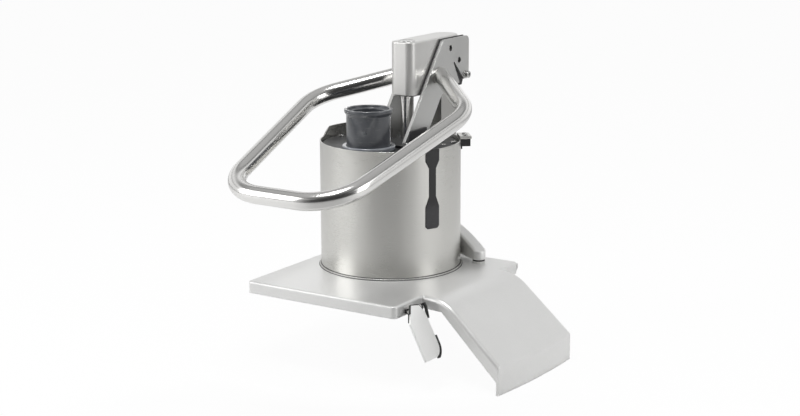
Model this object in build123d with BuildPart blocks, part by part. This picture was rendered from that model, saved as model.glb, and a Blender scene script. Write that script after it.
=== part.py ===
from build123d import *
import os
from math import asin, cos, degrees, hypot, radians, sin, sqrt, tan

# Feed head of a vegetable cutting machine. A cast lid with a discharge chute carries a round
# hopper. Behind the hopper a box mast guides a carriage: head, polished loop handle, two side
# plates with legs, and the pusher that presses vegetables down. A smaller plunger slides in a
# tube through the pusher.
# X points to the chute, -Y to the operator and Z up. The origin lies on the hopper's axis, in the
# plane of the skirt that stands on the motor base. All sizes are in millimetres.

# Clearances
shaft_play = 0.05
slide_play = 0.3
seat_play = 0.1
stop_gap = 0.3
blind_gap = 0.5
overrun = 1.0

# Lid plate and skirt
lid_height = 15.0
lid_wall = 3.0
lid_left_margin = 12.5
lid_right_margin = 27.0
lid_front_margin = 81.0
lid_corner = 6.0
lid_edge_round = 2.6
gusset_out = 9.0
gusset_dive = 3.0
ear_out = 21.7
rib_thickness = 2.5
rib_depth = 8.0
rib_count = 3
rib_pitch = 52.0

# Locating ring under the lid and its rubber seal
seat_margin = 3.0
ring_wall = 3.0
lobe_gap = 2.0
seal_height = 2.0

# Hinge lugs at the back edge
lug_radius = 5.5
lug_length = 16.0
hinge_bore = 6.0
lug_inset = 14.0

# Discharge chute, with its lengths counted from the lid's right edge
chute_back = 45.0
chute_bend = 50.0
chute_edge_round = 5.0
chute_flare = 14.0
crease_front_out = 33.0
crease_back_out = 45.0
tip_front_out = 114.0
tip_back_out = 121.5
tip_bulge = 4.0
tip_drop = 66.0
lip_height = 36.0
side_drop = 71.0
foot_crease_out = 30.0

# Hopper
hopper_radius = 90.0
hopper_wall = 1.5
hopper_height = 162.5
guard_rise = 10.0
guard_start = 62.0
guard_end = 197.0
guard_ramp = 19.0
collar_width = 2.2
collar_height = 2.2

# Hourglass insert in the hopper wall
insert_angle = -21.7
insert_width = 21.0
neck_width = 10.4
insert_height = 100.0
insert_top_block = 14.0
insert_top_taper = 9.5
insert_bottom_block = 28.0
insert_bottom_taper = 13.0
insert_chamfer = 3.0
insert_proud = 0.6

# Catch on the rim
catch_angle = 40.0
catch_width = 27.0
catch_reach = 13.0
catch_plate_thickness = 3.5
catch_block_width = 21.0
catch_block_height = 10.0
tongue_thickness = 2.4
tongue_length = 14.5
catch_lip = 1.0
catch_floor = 2.0
catch_screw = 3.0
catch_screw_spacing = 12.0
catch_head_radius = 3.0
catch_head_height = 1.5

# Mast and its bridge
mast_gap = 8.5
mast_width = 33.0
mast_depth = 38.0
mast_wall = 3.0
mast_stand = 2.0
bridge_wall = 4.5
bridge_height = 45.0
foot_right_gap = 24.0
foot_right_angle = 31.7
foot_left_gap = 15.8
foot_left_angle = 143.4
foot_radius = 8.7
foot_height = 15.0
arm_rise = 22.0
arm_mid_rise = 12.0
arm_end_drop = 4.5
arm_round = 3.0
washer_thickness = 2.8
washer_inset = 0.4
foot_seal_thickness = 2.2
foot_seal_inset = 0.8
bridge_bolt = 6.0
bolt_cover = 3.0
bolt_head_height = 4.0
bolt_head_radius = 5.0
bolt_pad = 2.0
mast_screw = 6.0
mast_screw_spacing = 26.0
mast_screw_head_radius = 5.1
mast_screw_head_height = 4.2

# Guide bush, inner post and slider
bush_flange = 3.0
bush_length = 22.0
post_width = 21.0
post_depth = 26.0
post_wall = 2.5
post_socket = 40.0
slider_length = 20.0

# Carriage head
head_gap = 51.5
head_height = 70.0
head_width = 35.0
head_nose = 16.0
head_overhang = 32.5
head_corner = 10.5
head_top_round = 1.8
head_bottom_round = 2.6
pocket_wall = 5.0
thread_depth = 4.0
rod_radius = 8.5
rod_place = 40.0
rod_cap_radius = 11.0
rod_cap_height = 4.0
rod_cap_proud = 0.6
rod_cap_round = 0.5

# Side plates, liners and legs, with heights above the head's bottom and lengths behind the mast's middle
liner_thickness = 2.0
liner_proud = 1.6
liner_margin = 1.0
liner_rear_out = 31.5
liner_rear_rise = 10.0
liner_corner_rise = 1.8
plate_thickness = 4.0
plate_rear_out = 39.5
plate_top_drop = 3.0
plate_rear_rise = 14.0
plate_tab_rise = 9.5
plate_knee_drop = 3.5
leg_lead = 43.8
leg_tilt = 37.65
leg_breadth = 51.0
plate_round = 7.0
slot_top_out = 1.0
slot_top_rise = 35.0
slot_top_width = 3.0
slot_foot_out = 16.0
slot_foot_rise = 5.5
slot_foot_width = 12.0
screw_offsets = ((-7.7, 54.4), (14.6, 36.7))
plate_screw = 5.0
plate_screw_head = 3.4
plate_screw_head_height = 1.2
plate_hole = 4.0
tab_screw_offset = (31.8, 15.3)
tab_screw_head = 4.8
tab_head_height = 4.5
tab_washer_radius = 5.6
tab_washer_height = 1.0

# Loop handle
handle_tube = 22.0
handle_wall = 2.0
handle_reach = 324.6
handle_tilt = 18.05
handle_front_half = 81.7
handle_back_half = 116.5
handle_back_reach = 88.6
handle_weld_lead = 32.9
handle_weld_rise = 22.8
handle_bend = 60.0

# Pusher
pusher_play = 1.2
pusher_floor_gap = 5.0
pusher_rim_drop = 5.0
pusher_wall = 4.0
pusher_chamfer = 1.3
pusher_floor = 6.0
cover_thickness = 3.0
hub_radius = 14.0
rod_depth = 34.0
feed_gap = 2.5
feed_bore = 56.6
feed_wall = 3.0
feed_lip = 2.0
feed_collar_width = 5.2
feed_collar_height = 6.0
feed_collar_round = 2.5
bracket_thickness = 3.0
bracket_height = 16.0
bracket_foot = 18.0
bracket_gap = 1.0
bracket_heel = 1.0
bracket_screw_out = 10.8
bracket_screw_back = 35.7
cover_screw_inset = 7.3
cover_screw_start = 32.5
cover_screws_number = 5
small_screw = 4.0
small_head_radius = 3.6
small_head_height = 2.2
magnet_inset = 19.7
magnet_angle = 23.5
magnet_radius = 4.2
magnet_proud = 0.4

# Plunger
plunger_play = 0.35
plunger_grip = 45.6
plunger_rim = 30.4
plunger_rim_height = 4.0
plunger_rim_taper = 3.5
plunger_wall = 5.0
plunger_floor = 8.0
plunger_step = 3.0

# Latch, with its lengths counted down from the pin
latch_corner_gap = 6.0
latch_chute_gap = 16.0
latch_width = 37.0
latch_top_left = 15.2
latch_top_rise = 6.0
latch_shoulder = 14.0
latch_top_right = 31.0
latch_right_rise = 2.5
latch_right_shoulder = 7.5
latch_length = 62.0
latch_angle = 27.0
latch_plate = 2.5
latch_round = 14.0
latch_pin_out = 5.5
latch_pin_height = 5.0
latch_pin_radius = 2.0
latch_barrel = 4.0
barrel_inset = 18.0
saddle_height = 5.0
pin_proud = 0.3
cheek_thickness = 3.0
cheek_radius = 3.6
cheek_web = 2.2
cheek_tail = 14.0
cheek_tail_out = 1.4
cheek_tail_half = 2.2
hook_top_out = 6.5
hook_top_rise = 7.0
hook_bend_out = 9.2
hook_bend_rise = 2.5
hook_tip_out = 12.7
hook_tip_drop = 11.5
hook_width = 2.8
barrel_out = 1.3
grip_rim = 4.0
grip_rim_foot = 7.0
grip_cap = 1.2
grip_cap_drop = 3.0
grip_inset = 1.0
grip_width = 12.0
grip_thickness = 2.0
grip_top = 9.0
grip_rim_top = 38.0

# Places worked out from the sizes above
lid_ceiling = lid_height - lid_wall
lid_left = hopper_radius + lid_left_margin
lid_right = hopper_radius + lid_right_margin
lid_front = hopper_radius + lid_front_margin
lid_back = hopper_radius
chute_front = lid_front - latch_corner_gap - latch_width - latch_chute_gap
rim_low = lid_height + hopper_height
hopper_inner = hopper_radius - hopper_wall
pusher_radius = hopper_inner - pusher_play
pusher_bottom = lid_height + pusher_floor_gap
pusher_top = rim_low - pusher_rim_drop
drum_top = pusher_top - cover_thickness
head_bottom = rim_low + head_gap
head_top = head_bottom + head_height
head_half = head_width / 2
plate_inner = head_half + liner_thickness
plate_outer = plate_inner + plate_thickness
plate_top = head_top - plate_top_drop
leg_slope = tan(radians(leg_tilt))
feed_inner = feed_bore / 2
feed_outer = feed_inner + feed_wall
feed_place = feed_outer + feed_gap + pusher_wall - pusher_radius
feed_centre = (0, feed_place)
mast_front = hopper_radius + mast_gap
mast_middle = mast_front + mast_depth / 2
mast_top = head_bottom - stop_gap - bush_flange
mast_centre = (0, mast_middle)
foot_bottom = lid_height + washer_thickness + foot_seal_thickness
bridge_bottom = lid_height + mast_stand
plate_rear = mast_middle + plate_rear_out
plate_knee = head_bottom - plate_knee_drop
leg_toe = rod_place - leg_lead
slot_foot = mast_middle + slot_foot_out
screw_places = [(mast_middle + out, head_bottom + rise) for out, rise in screw_offsets]
tab_screw_place = (mast_middle + tab_screw_offset[0], head_bottom + tab_screw_offset[1])


def angle_point(radius, angle):
    """Point in plan at a radius and an angle in degrees."""
    return (radius * cos(radians(angle)), radius * sin(radians(angle)))


def wall_plane(angle, height):
    """Upright plane on the hopper's axis that faces outwards at an angle."""
    outward = (cos(radians(angle)), sin(radians(angle)), 0)
    sideways = (-sin(radians(angle)), cos(radians(angle)), 0)
    return Plane(origin=(0, 0, height), x_dir=sideways, z_dir=outward)


foot_right = angle_point(hopper_radius + foot_right_gap, foot_right_angle)
foot_left = angle_point(hopper_radius + foot_left_gap, foot_left_angle)
feet = (foot_right, foot_left)
ear_reach = lid_right + ear_out

# Chute form: a loft between two upright profiles, trimmed to its plan outline.
chute_root = lid_right - lid_wall
crease_front = lid_right + crease_front_out
crease_back = lid_right + crease_back_out
tip_front = lid_right + tip_front_out
tip_back = lid_right + tip_back_out
foot_crease = lid_right + foot_crease_out
chute_tip_z = lid_height - tip_drop
chute_lip_z = chute_tip_z - lip_height
chute_overrun = 15.0
core_root = chute_root - overrun
chute_deep = chute_lip_z - 3 * lid_wall
front_plane = Plane.XZ.offset(chute_front + chute_flare + overrun)
back_plane = Plane.XZ.offset(-chute_back - overrun)


def chute_slope(crease, tip):
    """Slope of the chute's top between its crease and its tip."""
    return -tip_drop / (tip - crease)


def outer_profile(crease, tip):
    """Closed outline of the chute's outside, seen along Y."""
    end = tip + chute_overrun
    end_z = lid_height + chute_slope(crease, tip) * (end - crease)
    step = tip - lid_wall
    return [
        (chute_root, lid_height),
        (crease, lid_height),
        (end, end_z),
        (end, chute_lip_z),
        (step, chute_lip_z),
        (step, -side_drop),
        (foot_crease, 0),
        (chute_root, 0),
    ]


def core_profile(crease, tip):
    """Closed outline of the chute's hollow, open below."""
    slope = chute_slope(crease, tip)
    drop = lid_wall * hypot(1, slope)
    end = tip + chute_overrun
    inner_crease = crease + (drop - lid_wall) / slope
    return [
        (core_root, lid_ceiling),
        (inner_crease, lid_ceiling),
        (end, lid_height + slope * (end - crease) - drop),
        (end, chute_deep),
        (core_root, chute_deep),
    ]


def chute_plan():
    """Plan outline of the chute, with its bowed end."""
    middle = ((tip_front + tip_back) / 2 + tip_bulge, (chute_back - chute_front - chute_flare) / 2)
    corner = (tip_front, -chute_front - chute_flare)
    with BuildSketch(Plane.XY.offset(chute_deep)) as plan:
        with BuildLine():
            Polyline((tip_back, chute_back), (chute_root, chute_back), (chute_root, -chute_front), corner)
            ThreePointArc(corner, middle, (tip_back, chute_back))
        make_face()
    return plan.sketch


chute_outline = chute_plan()
chute_tall = lid_height - chute_deep
facing_up = 0.3
near_upright = 0.1
facing_lid = -0.5


def looks_up(face):
    """Whether a face is part of a top."""
    return face.normal_at().Z > facing_up


def is_wall(face):
    """Whether a face of a chute form is one of its outer walls."""
    normal = face.normal_at()
    return abs(normal.Z) < near_upright and normal.X > facing_lid


def crease_edge(form):
    """Edge of a chute form where its level top turns down."""
    top_face = form.faces().filter_by(Axis.Z).sort_by(Axis.Z)[-1]
    return top_face.edges().sort_by(Axis.X)[-1]


def upper_rim(form):
    """Edges of a chute form where its top meets the walls, without the one in the lid."""
    wall_edges = form.faces().filter_by(is_wall).edges()
    return form.faces().filter_by(looks_up).edges().filter_by(lambda edge: edge in wall_edges)


with BuildPart() as chute_form:
    with BuildSketch(front_plane):
        with BuildLine():
            Polyline(*outer_profile(crease_front, tip_front), close=True)
        make_face()
    with BuildSketch(back_plane):
        with BuildLine():
            Polyline(*outer_profile(crease_back, tip_back), close=True)
        make_face()
    loft(ruled=True)
    extrude(chute_outline, amount=chute_tall, mode=Mode.INTERSECT)
    fillet(crease_edge(chute_form), chute_bend)
    fillet(upper_rim(chute_form), chute_edge_round)

with BuildPart() as chute_core:
    with BuildSketch(front_plane):
        with BuildLine():
            Polyline(*core_profile(crease_front, tip_front), close=True)
        make_face()
    with BuildSketch(back_plane):
        with BuildLine():
            Polyline(*core_profile(crease_back, tip_back), close=True)
        make_face()
    loft(ruled=True)
    core_outline = offset(chute_outline, amount=-lid_wall, kind=Kind.INTERSECTION, mode=Mode.PRIVATE)
    extrude(core_outline, amount=chute_tall, mode=Mode.INTERSECT)
    fillet(crease_edge(chute_core), chute_bend - lid_wall)
    fillet(upper_rim(chute_core), chute_edge_round - lid_wall)

# Lid: cast plate with a skirt all round, the chute, the locating ring, ribs and hinge lugs.
lid_corners = [
    (-lid_left, -lid_front),
    (lid_right, -lid_front),
    (lid_right, -chute_front),
    (lid_right + gusset_out, gusset_dive - chute_front),
    (ear_reach, chute_back - overrun),
    (ear_reach, lid_back),
    (-lid_left, lid_back),
]
seat_radius = hopper_radius + seat_margin
ring_outer = seat_radius + ring_wall
ring_middle = seat_radius + ring_wall / 2
lobe_radius = ring_outer + lid_wall + lobe_gap
with BuildSketch() as lid_outline:
    with BuildLine():
        Polyline(*lid_corners, close=True)
    make_face()
    fillet(lid_outline.vertices(), lid_corner)
    Circle(lobe_radius)

rib_places = [(index - (rib_count - 1) / 2) * rib_pitch for index in range(rib_count)]
rib_start = -lid_front + lid_wall / 2
lug_places = (-lid_left + lug_inset + lug_length / 2, ear_reach - lug_length / 2 - lid_corner)

with BuildPart() as lid_shell:
    extrude(lid_outline.sketch, amount=lid_height)
    fillet(lid_shell.faces().sort_by(Axis.Z)[-1].edges(), lid_edge_round)
    extrude(offset(lid_outline.sketch, amount=-lid_wall, mode=Mode.PRIVATE), amount=lid_ceiling,
            mode=Mode.SUBTRACT)
    add(chute_form.part)
    add(chute_core.part, mode=Mode.SUBTRACT)
    with BuildSketch(Plane.XY.offset(seal_height)):
        Circle(ring_outer)
        Circle(seat_radius, mode=Mode.SUBTRACT)
    extrude(amount=lid_ceiling - seal_height)
    for rib_x in rib_places:
        rib_end = -sqrt(ring_middle**2 - rib_x**2)
        with BuildSketch(Plane.XY.offset(lid_ceiling - rib_depth)):
            with Locations((rib_x, (rib_start + rib_end) / 2)):
                Rectangle(rib_thickness, rib_end - rib_start)
        extrude(amount=rib_depth)
    with BuildSketch(Plane.XY.offset(lid_ceiling - bolt_head_height)):
        with Locations(*feet):
            Circle(bolt_head_radius + bolt_pad)
    extrude(amount=bolt_head_height)
    for lug_x in lug_places:
        with BuildSketch(Plane.YZ.offset(lug_x - lug_length / 2)):
            with Locations((lid_back + lug_radius, lug_radius)):
                Circle(lug_radius)
            with Locations((lid_back + (lug_radius - lid_wall / 2) / 2, lug_radius)):
                Rectangle(lug_radius + lid_wall / 2, 2 * lug_radius)
        extrude(amount=lug_length)
        with BuildSketch(Plane.YZ.offset(lug_x - lug_length / 2)):
            with Locations((lid_back + lug_radius, lug_radius)):
                Circle(hinge_bore / 2)
        extrude(amount=lug_length, mode=Mode.SUBTRACT)
    with BuildSketch(Plane.XY.offset(lid_ceiling)):
        Circle(hopper_inner)
    extrude(amount=lid_wall, mode=Mode.SUBTRACT)
    with BuildSketch():
        with Locations(*feet):
            Circle(bridge_bolt / 2 + shaft_play)
    extrude(amount=lid_height, mode=Mode.SUBTRACT)

with BuildPart() as lid_seal:
    with BuildSketch():
        Circle(ring_outer)
        Circle(seat_radius, mode=Mode.SUBTRACT)
    extrude(amount=seal_height)


# Hopper: rolled sheet, cut low at the front and right, with a slot for the insert.
def insert_outline(gap):
    """Hourglass outline of the insert, smaller by a gap all round."""
    half = insert_width / 2 - gap
    neck = neck_width / 2 - gap
    top = 0
    bottom = gap - insert_height
    side = [
        (half, top),
        (half, -insert_top_block),
        (neck, -insert_top_block - insert_top_taper),
        (neck, -insert_height + insert_bottom_block + insert_bottom_taper),
        (half, -insert_height + insert_bottom_block),
        (half, bottom + insert_chamfer),
        (half - insert_chamfer, bottom),
    ]
    return side + [(-x, z) for x, z in reversed(side)]


insert_plane = wall_plane(insert_angle, rim_low)
ramp_angle = degrees(guard_ramp / hopper_radius)
guard_middle = (guard_start + guard_end) / 2
guard_chord = hopper_radius * cos(radians(guard_end - guard_middle))
low_plane = Plane(origin=(0, 0, rim_low), x_dir=(*angle_point(1, guard_middle), 0), z_dir=(0, 0, 1))

with BuildPart() as hopper_tube:
    with BuildSketch(Plane.XY.offset(lid_height)):
        Circle(hopper_radius)
        Circle(hopper_inner, mode=Mode.SUBTRACT)
    extrude(amount=hopper_height + guard_rise)
    with BuildSketch(low_plane):
        with Locations((guard_chord - 2 * hopper_radius, 0)):
            Rectangle(4 * hopper_radius, 4 * hopper_radius)
    extrude(amount=guard_rise, mode=Mode.SUBTRACT)
    for start, turn in ((guard_start, 1), (guard_end, -1)):
        with BuildSketch(wall_plane(start + turn * ramp_angle / 2, rim_low).offset(hopper_radius / 2)):
            low_end = -turn * (guard_ramp / 2 + overrun)
            high_end = (turn * guard_ramp / 2, guard_rise)
            with BuildLine():
                Polyline((low_end, 0), high_end, (low_end, guard_rise + overrun), close=True)
            make_face()
        extrude(amount=hopper_radius, mode=Mode.SUBTRACT)
    with BuildSketch(insert_plane.offset(hopper_inner - insert_width / 2)):
        with BuildLine():
            Polyline(*insert_outline(0), close=True)
        make_face()
    extrude(amount=insert_width, mode=Mode.SUBTRACT)

with BuildPart() as hopper_collar:
    with BuildSketch(Plane.XY.offset(lid_height)):
        Circle(hopper_radius + collar_width)
        Circle(hopper_radius, mode=Mode.SUBTRACT)
    extrude(amount=collar_height)
    fillet(hopper_collar.edges().group_by(Axis.Z)[-1].sort_by(SortBy.LENGTH)[-1:], collar_width / 2)

with BuildPart() as wall_insert:
    with BuildSketch(Plane.XY.offset(rim_low - insert_height)):
        Circle(hopper_radius + insert_proud)
        Circle(hopper_inner, mode=Mode.SUBTRACT)
    extrude(amount=insert_height)
    with BuildSketch(insert_plane.offset(hopper_inner - insert_width / 2)):
        with BuildLine():
            Polyline(*insert_outline(seat_play), close=True)
        make_face()
    extrude(amount=insert_width, mode=Mode.INTERSECT)

# Catch on the rim: a bright plate on top, a black block and a tongue on the outside.
catch_from = pusher_radius + 2 * slide_play
catch_to = hopper_radius + catch_reach
catch_direction = (cos(radians(catch_angle)), sin(radians(catch_angle)), 0)
catch_top = Plane(origin=(0, 0, rim_low), x_dir=catch_direction, z_dir=(0, 0, 1))
catch_screw_at = [(catch_to - catch_reach / 2, side * catch_screw_spacing / 2) for side in (-1, 1)]

with BuildPart() as catch_plate:
    with BuildSketch(catch_top):
        with Locations(((catch_from + catch_to) / 2, 0)):
            Rectangle(catch_to - catch_from, catch_width)
        Circle(catch_from, mode=Mode.SUBTRACT)
    extrude(amount=catch_plate_thickness)
    with BuildSketch(catch_top):
        with Locations(*catch_screw_at):
            Circle(catch_screw / 2 + shaft_play)
    extrude(amount=catch_plate_thickness, mode=Mode.SUBTRACT)

with BuildPart() as catch_block:
    with BuildSketch(catch_top):
        with Locations(((hopper_radius / 2 + catch_to - catch_lip) / 2, 0)):
            Rectangle(catch_to - catch_lip - hopper_radius / 2, catch_block_width)
        Circle(hopper_radius, mode=Mode.SUBTRACT)
    extrude(amount=-catch_block_height)
    with BuildSketch(catch_top):
        Circle(hopper_radius + tongue_thickness)
        Circle(hopper_radius, mode=Mode.SUBTRACT)
        with Locations((hopper_radius, 0)):
            Rectangle(hopper_radius, catch_block_width / 2, mode=Mode.INTERSECT)
    extrude(amount=-tongue_length)
    with BuildSketch(catch_top):
        with Locations(*catch_screw_at):
            Circle(catch_screw / 2 + shaft_play)
    extrude(amount=catch_floor - catch_block_height, mode=Mode.SUBTRACT)

with BuildPart() as catch_screws:
    with BuildSketch(catch_top.offset(catch_plate_thickness)):
        with Locations(*catch_screw_at):
            Circle(catch_head_radius)
    extrude(amount=catch_head_height)
    with BuildSketch(catch_top.offset(catch_plate_thickness)):
        with Locations(*catch_screw_at):
            Circle(catch_screw / 2)
    extrude(amount=catch_floor + blind_gap - catch_block_height - catch_plate_thickness)


# Mast bridge: casting behind the hopper with a socket for the mast and two arms to the lid.
def arm_form(foot):
    """One arm of the bridge, from its round foot to the mast socket."""
    reach = hypot(foot[0], mast_middle - foot[1])
    along = (-foot[0] / reach, (mast_middle - foot[1]) / reach, 0)
    across = (along[1], -along[0], 0)
    top = foot_bottom + foot_height
    with BuildPart() as arm:
        with BuildSketch(Plane(origin=(*foot, foot_bottom), x_dir=along, z_dir=(0, 0, 1))):
            Circle(foot_radius)
            with Locations((reach / 2, 0)):
                Rectangle(reach, 2 * foot_radius)
        extrude(amount=foot_height + arm_rise + arm_mid_rise)
        with BuildSketch(Plane(origin=(*foot, 0), x_dir=along, z_dir=across)):
            with BuildLine():
                outer_end = (-foot_radius - overrun, top - arm_end_drop)
                mast_end = (reach, top + arm_rise)
                Polyline(outer_end, (-foot_radius - overrun, 0), (reach, 0), mast_end)
                ThreePointArc(mast_end, (reach / 3, top + arm_mid_rise), outer_end)
            make_face()
        extrude(amount=foot_radius + overrun, both=True, mode=Mode.INTERSECT)
        upper = arm.faces().filter_by(looks_up)[0]
        mast_end_edge = upper.edges().sort_by(Axis.Z)[-1]
        fillet([edge for edge in upper.edges() if edge != mast_end_edge], arm_round)
    return arm.part


arms = [arm_form(foot) for foot in feet]
bridge_top = bridge_bottom + bridge_height
bridge_back = mast_front + mast_depth + bridge_wall
mast_screw_heights = [(bridge_bottom + bridge_top) / 2 + side * mast_screw_spacing / 2 for side in (-1, 1)]
clear_back = hopper_radius + collar_width + slide_play

with BuildPart() as mast_bridge:
    with BuildSketch(Plane.XY.offset(bridge_bottom)) as socket_outline:
        with Locations(mast_centre):
            Rectangle(mast_width + 2 * bridge_wall, mast_depth + 2 * bridge_wall)
        fillet(socket_outline.vertices(), bridge_wall)
    extrude(amount=bridge_height)
    for arm in arms:
        add(arm)
    with BuildSketch(Plane.XY.offset(bridge_bottom)):
        Circle(clear_back)
    extrude(amount=bridge_height, mode=Mode.SUBTRACT)
    with BuildSketch(Plane.XY.offset(bridge_bottom)):
        with Locations(mast_centre):
            Rectangle(mast_width, mast_depth)
    extrude(amount=bridge_height, mode=Mode.SUBTRACT)
    with BuildSketch(Plane.XY.offset(foot_bottom)):
        with Locations(*feet):
            Circle(bridge_bolt / 2 + shaft_play)
    extrude(amount=foot_height - bolt_cover, mode=Mode.SUBTRACT)
    with BuildSketch(Plane.XZ.offset(-bridge_back)):
        with Locations(*[(0, height) for height in mast_screw_heights]):
            Circle(mast_screw / 2 + shaft_play)
    extrude(amount=bridge_wall, mode=Mode.SUBTRACT)

with BuildPart() as foot_washers:
    with BuildSketch(Plane.XY.offset(lid_height)):
        with Locations(*feet):
            Circle(foot_radius - washer_inset)
            Circle(bridge_bolt / 2 + shaft_play, mode=Mode.SUBTRACT)
    extrude(amount=washer_thickness)

with BuildPart() as foot_seals:
    with BuildSketch(Plane.XY.offset(lid_height + washer_thickness)):
        with Locations(*feet):
            Circle(foot_radius - foot_seal_inset)
            Circle(bridge_bolt / 2 + shaft_play, mode=Mode.SUBTRACT)
    extrude(amount=foot_seal_thickness)

bolt_seat = lid_ceiling - bolt_head_height
with BuildPart() as bridge_bolts:
    with BuildSketch(Plane.XY.offset(bolt_seat)):
        with Locations(*feet):
            Circle(bridge_bolt / 2)
    extrude(amount=foot_bottom + foot_height - bolt_cover - blind_gap - bolt_seat)
    with BuildSketch(Plane.XY.offset(bolt_seat)):
        with Locations(*feet):
            RegularPolygon(bolt_head_radius, 6)
    extrude(amount=-bolt_head_height)

with BuildPart() as mast_tube:
    with BuildSketch(Plane.XY.offset(bridge_bottom)):
        with Locations(mast_centre):
            Rectangle(mast_width, mast_depth)
            Rectangle(mast_width - 2 * mast_wall, mast_depth - 2 * mast_wall, mode=Mode.SUBTRACT)
    extrude(amount=mast_top - bridge_bottom)
    with BuildSketch(Plane.XZ.offset(-bridge_back)):
        with Locations(*[(0, height) for height in mast_screw_heights]):
            Circle(mast_screw / 2 + shaft_play)
    extrude(amount=bridge_wall + mast_wall, mode=Mode.SUBTRACT)

with BuildPart() as mast_screws:
    with BuildSketch(Plane.XZ.offset(-bridge_back)):
        with Locations(*[(0, height) for height in mast_screw_heights]):
            Circle(mast_screw / 2)
    extrude(amount=bridge_wall + mast_wall - blind_gap)
    with BuildSketch(Plane.XZ.offset(-bridge_back)):
        with Locations(*[(0, height) for height in mast_screw_heights]):
            Circle(mast_screw_head_radius)
    extrude(amount=-mast_screw_head_height)

bore_width = mast_width - 2 * mast_wall
bore_depth = mast_depth - 2 * mast_wall
with BuildPart() as mast_top_bush:
    with BuildSketch(Plane.XY.offset(mast_top)):
        with Locations(mast_centre):
            Rectangle(mast_width, mast_depth)
    extrude(amount=bush_flange)
    with BuildSketch(Plane.XY.offset(mast_top)):
        with Locations(mast_centre):
            Rectangle(bore_width, bore_depth)
    extrude(amount=-bush_length)
    with BuildSketch(Plane.XY.offset(mast_top - bush_length)):
        with Locations(mast_centre):
            Rectangle(post_width + 2 * slide_play, post_depth + 2 * slide_play)
    extrude(amount=bush_length + bush_flange, mode=Mode.SUBTRACT)

with BuildPart() as mast_foot_plug:
    with BuildSketch(Plane.XY.offset(bridge_bottom)):
        with Locations(mast_centre):
            Rectangle(bore_width, bore_depth)
    extrude(amount=mast_wall)

# Inner post and slider: they telescope in the mast with the carriage.
slider_bottom = bridge_bottom + mast_wall + stop_gap
with BuildPart() as inner_post:
    with BuildSketch(Plane.XY.offset(slider_bottom)):
        with Locations(mast_centre):
            Rectangle(post_width, post_depth)
            Rectangle(post_width - 2 * post_wall, post_depth - 2 * post_wall, mode=Mode.SUBTRACT)
    extrude(amount=head_bottom + post_socket - slider_bottom)

with BuildPart() as post_slider:
    with BuildSketch(Plane.XY.offset(slider_bottom)):
        with Locations(mast_centre):
            Rectangle(bore_width - 2 * slide_play, bore_depth - 2 * slide_play)
            Rectangle(post_width, post_depth, mode=Mode.SUBTRACT)
    extrude(amount=slider_length)

# Carriage head: long casting, square corners in front and round behind.
head_front = rod_place - head_nose
head_round = mast_middle + head_overhang - head_half
pocket_front = rod_place + rod_cap_radius + pocket_wall
pocket_back = mast_middle - post_depth / 2 - pocket_wall
with BuildPart() as head_casting:
    with BuildSketch(Plane.XY.offset(head_bottom)) as head_plan:
        with Locations((0, (head_front + head_round) / 2)):
            Rectangle(head_width, head_round - head_front)
        fillet(head_plan.vertices().group_by(Axis.Y)[0], head_corner)
        with Locations((0, head_round)):
            Circle(head_half)
    extrude(amount=head_height)
    fillet(head_casting.edges().group_by(Axis.Z)[-1], head_top_round)
    fillet(head_casting.edges().group_by(Axis.Z)[0], head_bottom_round)
    with BuildSketch(Plane.XY.offset(head_bottom)):
        with Locations((0, rod_place)):
            Circle(rod_radius + shaft_play)
    extrude(amount=head_height, mode=Mode.SUBTRACT)
    with BuildSketch(Plane.XY.offset(head_top)):
        with Locations((0, rod_place)):
            Circle(rod_cap_radius + shaft_play)
    extrude(amount=-rod_cap_height, mode=Mode.SUBTRACT)
    with BuildSketch(Plane.XY.offset(head_bottom)):
        with Locations(mast_centre):
            Rectangle(post_width, post_depth)
    extrude(amount=post_socket, mode=Mode.SUBTRACT)
    with BuildSketch(Plane.XY.offset(head_bottom)):
        with Locations((0, (pocket_front + pocket_back) / 2)):
            Rectangle(head_width - 2 * pocket_wall, pocket_back - pocket_front)
    extrude(amount=head_height - pocket_wall, mode=Mode.SUBTRACT)
    for side in (-1, 1):
        with BuildSketch(Plane.YZ.offset(side * head_half)):
            with Locations(*screw_places, tab_screw_place):
                Circle(plate_screw / 2 + shaft_play)
        extrude(amount=-side * thread_depth, mode=Mode.SUBTRACT)

rod_bottom = pusher_top - rod_depth
with BuildPart() as guide_rod:
    with BuildSketch(Plane.XY.offset(rod_bottom)):
        with Locations((0, rod_place)):
            Circle(rod_radius)
    extrude(amount=head_top - rod_cap_height - rod_bottom)

with BuildPart() as rod_cap:
    with BuildSketch(Plane.XY.offset(head_top - rod_cap_height)):
        with Locations((0, rod_place)):
            Circle(rod_cap_radius)
    extrude(amount=rod_cap_height + rod_cap_proud)
    fillet(rod_cap.edges().group_by(Axis.Z)[-1], rod_cap_round)


# Side plates: flat plates with a slotted tab behind and a diagonal leg down to the pusher.
def front_line(height):
    """Place of the plate's front edge at a height."""
    return leg_toe + (height - pusher_top) * leg_slope


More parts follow.
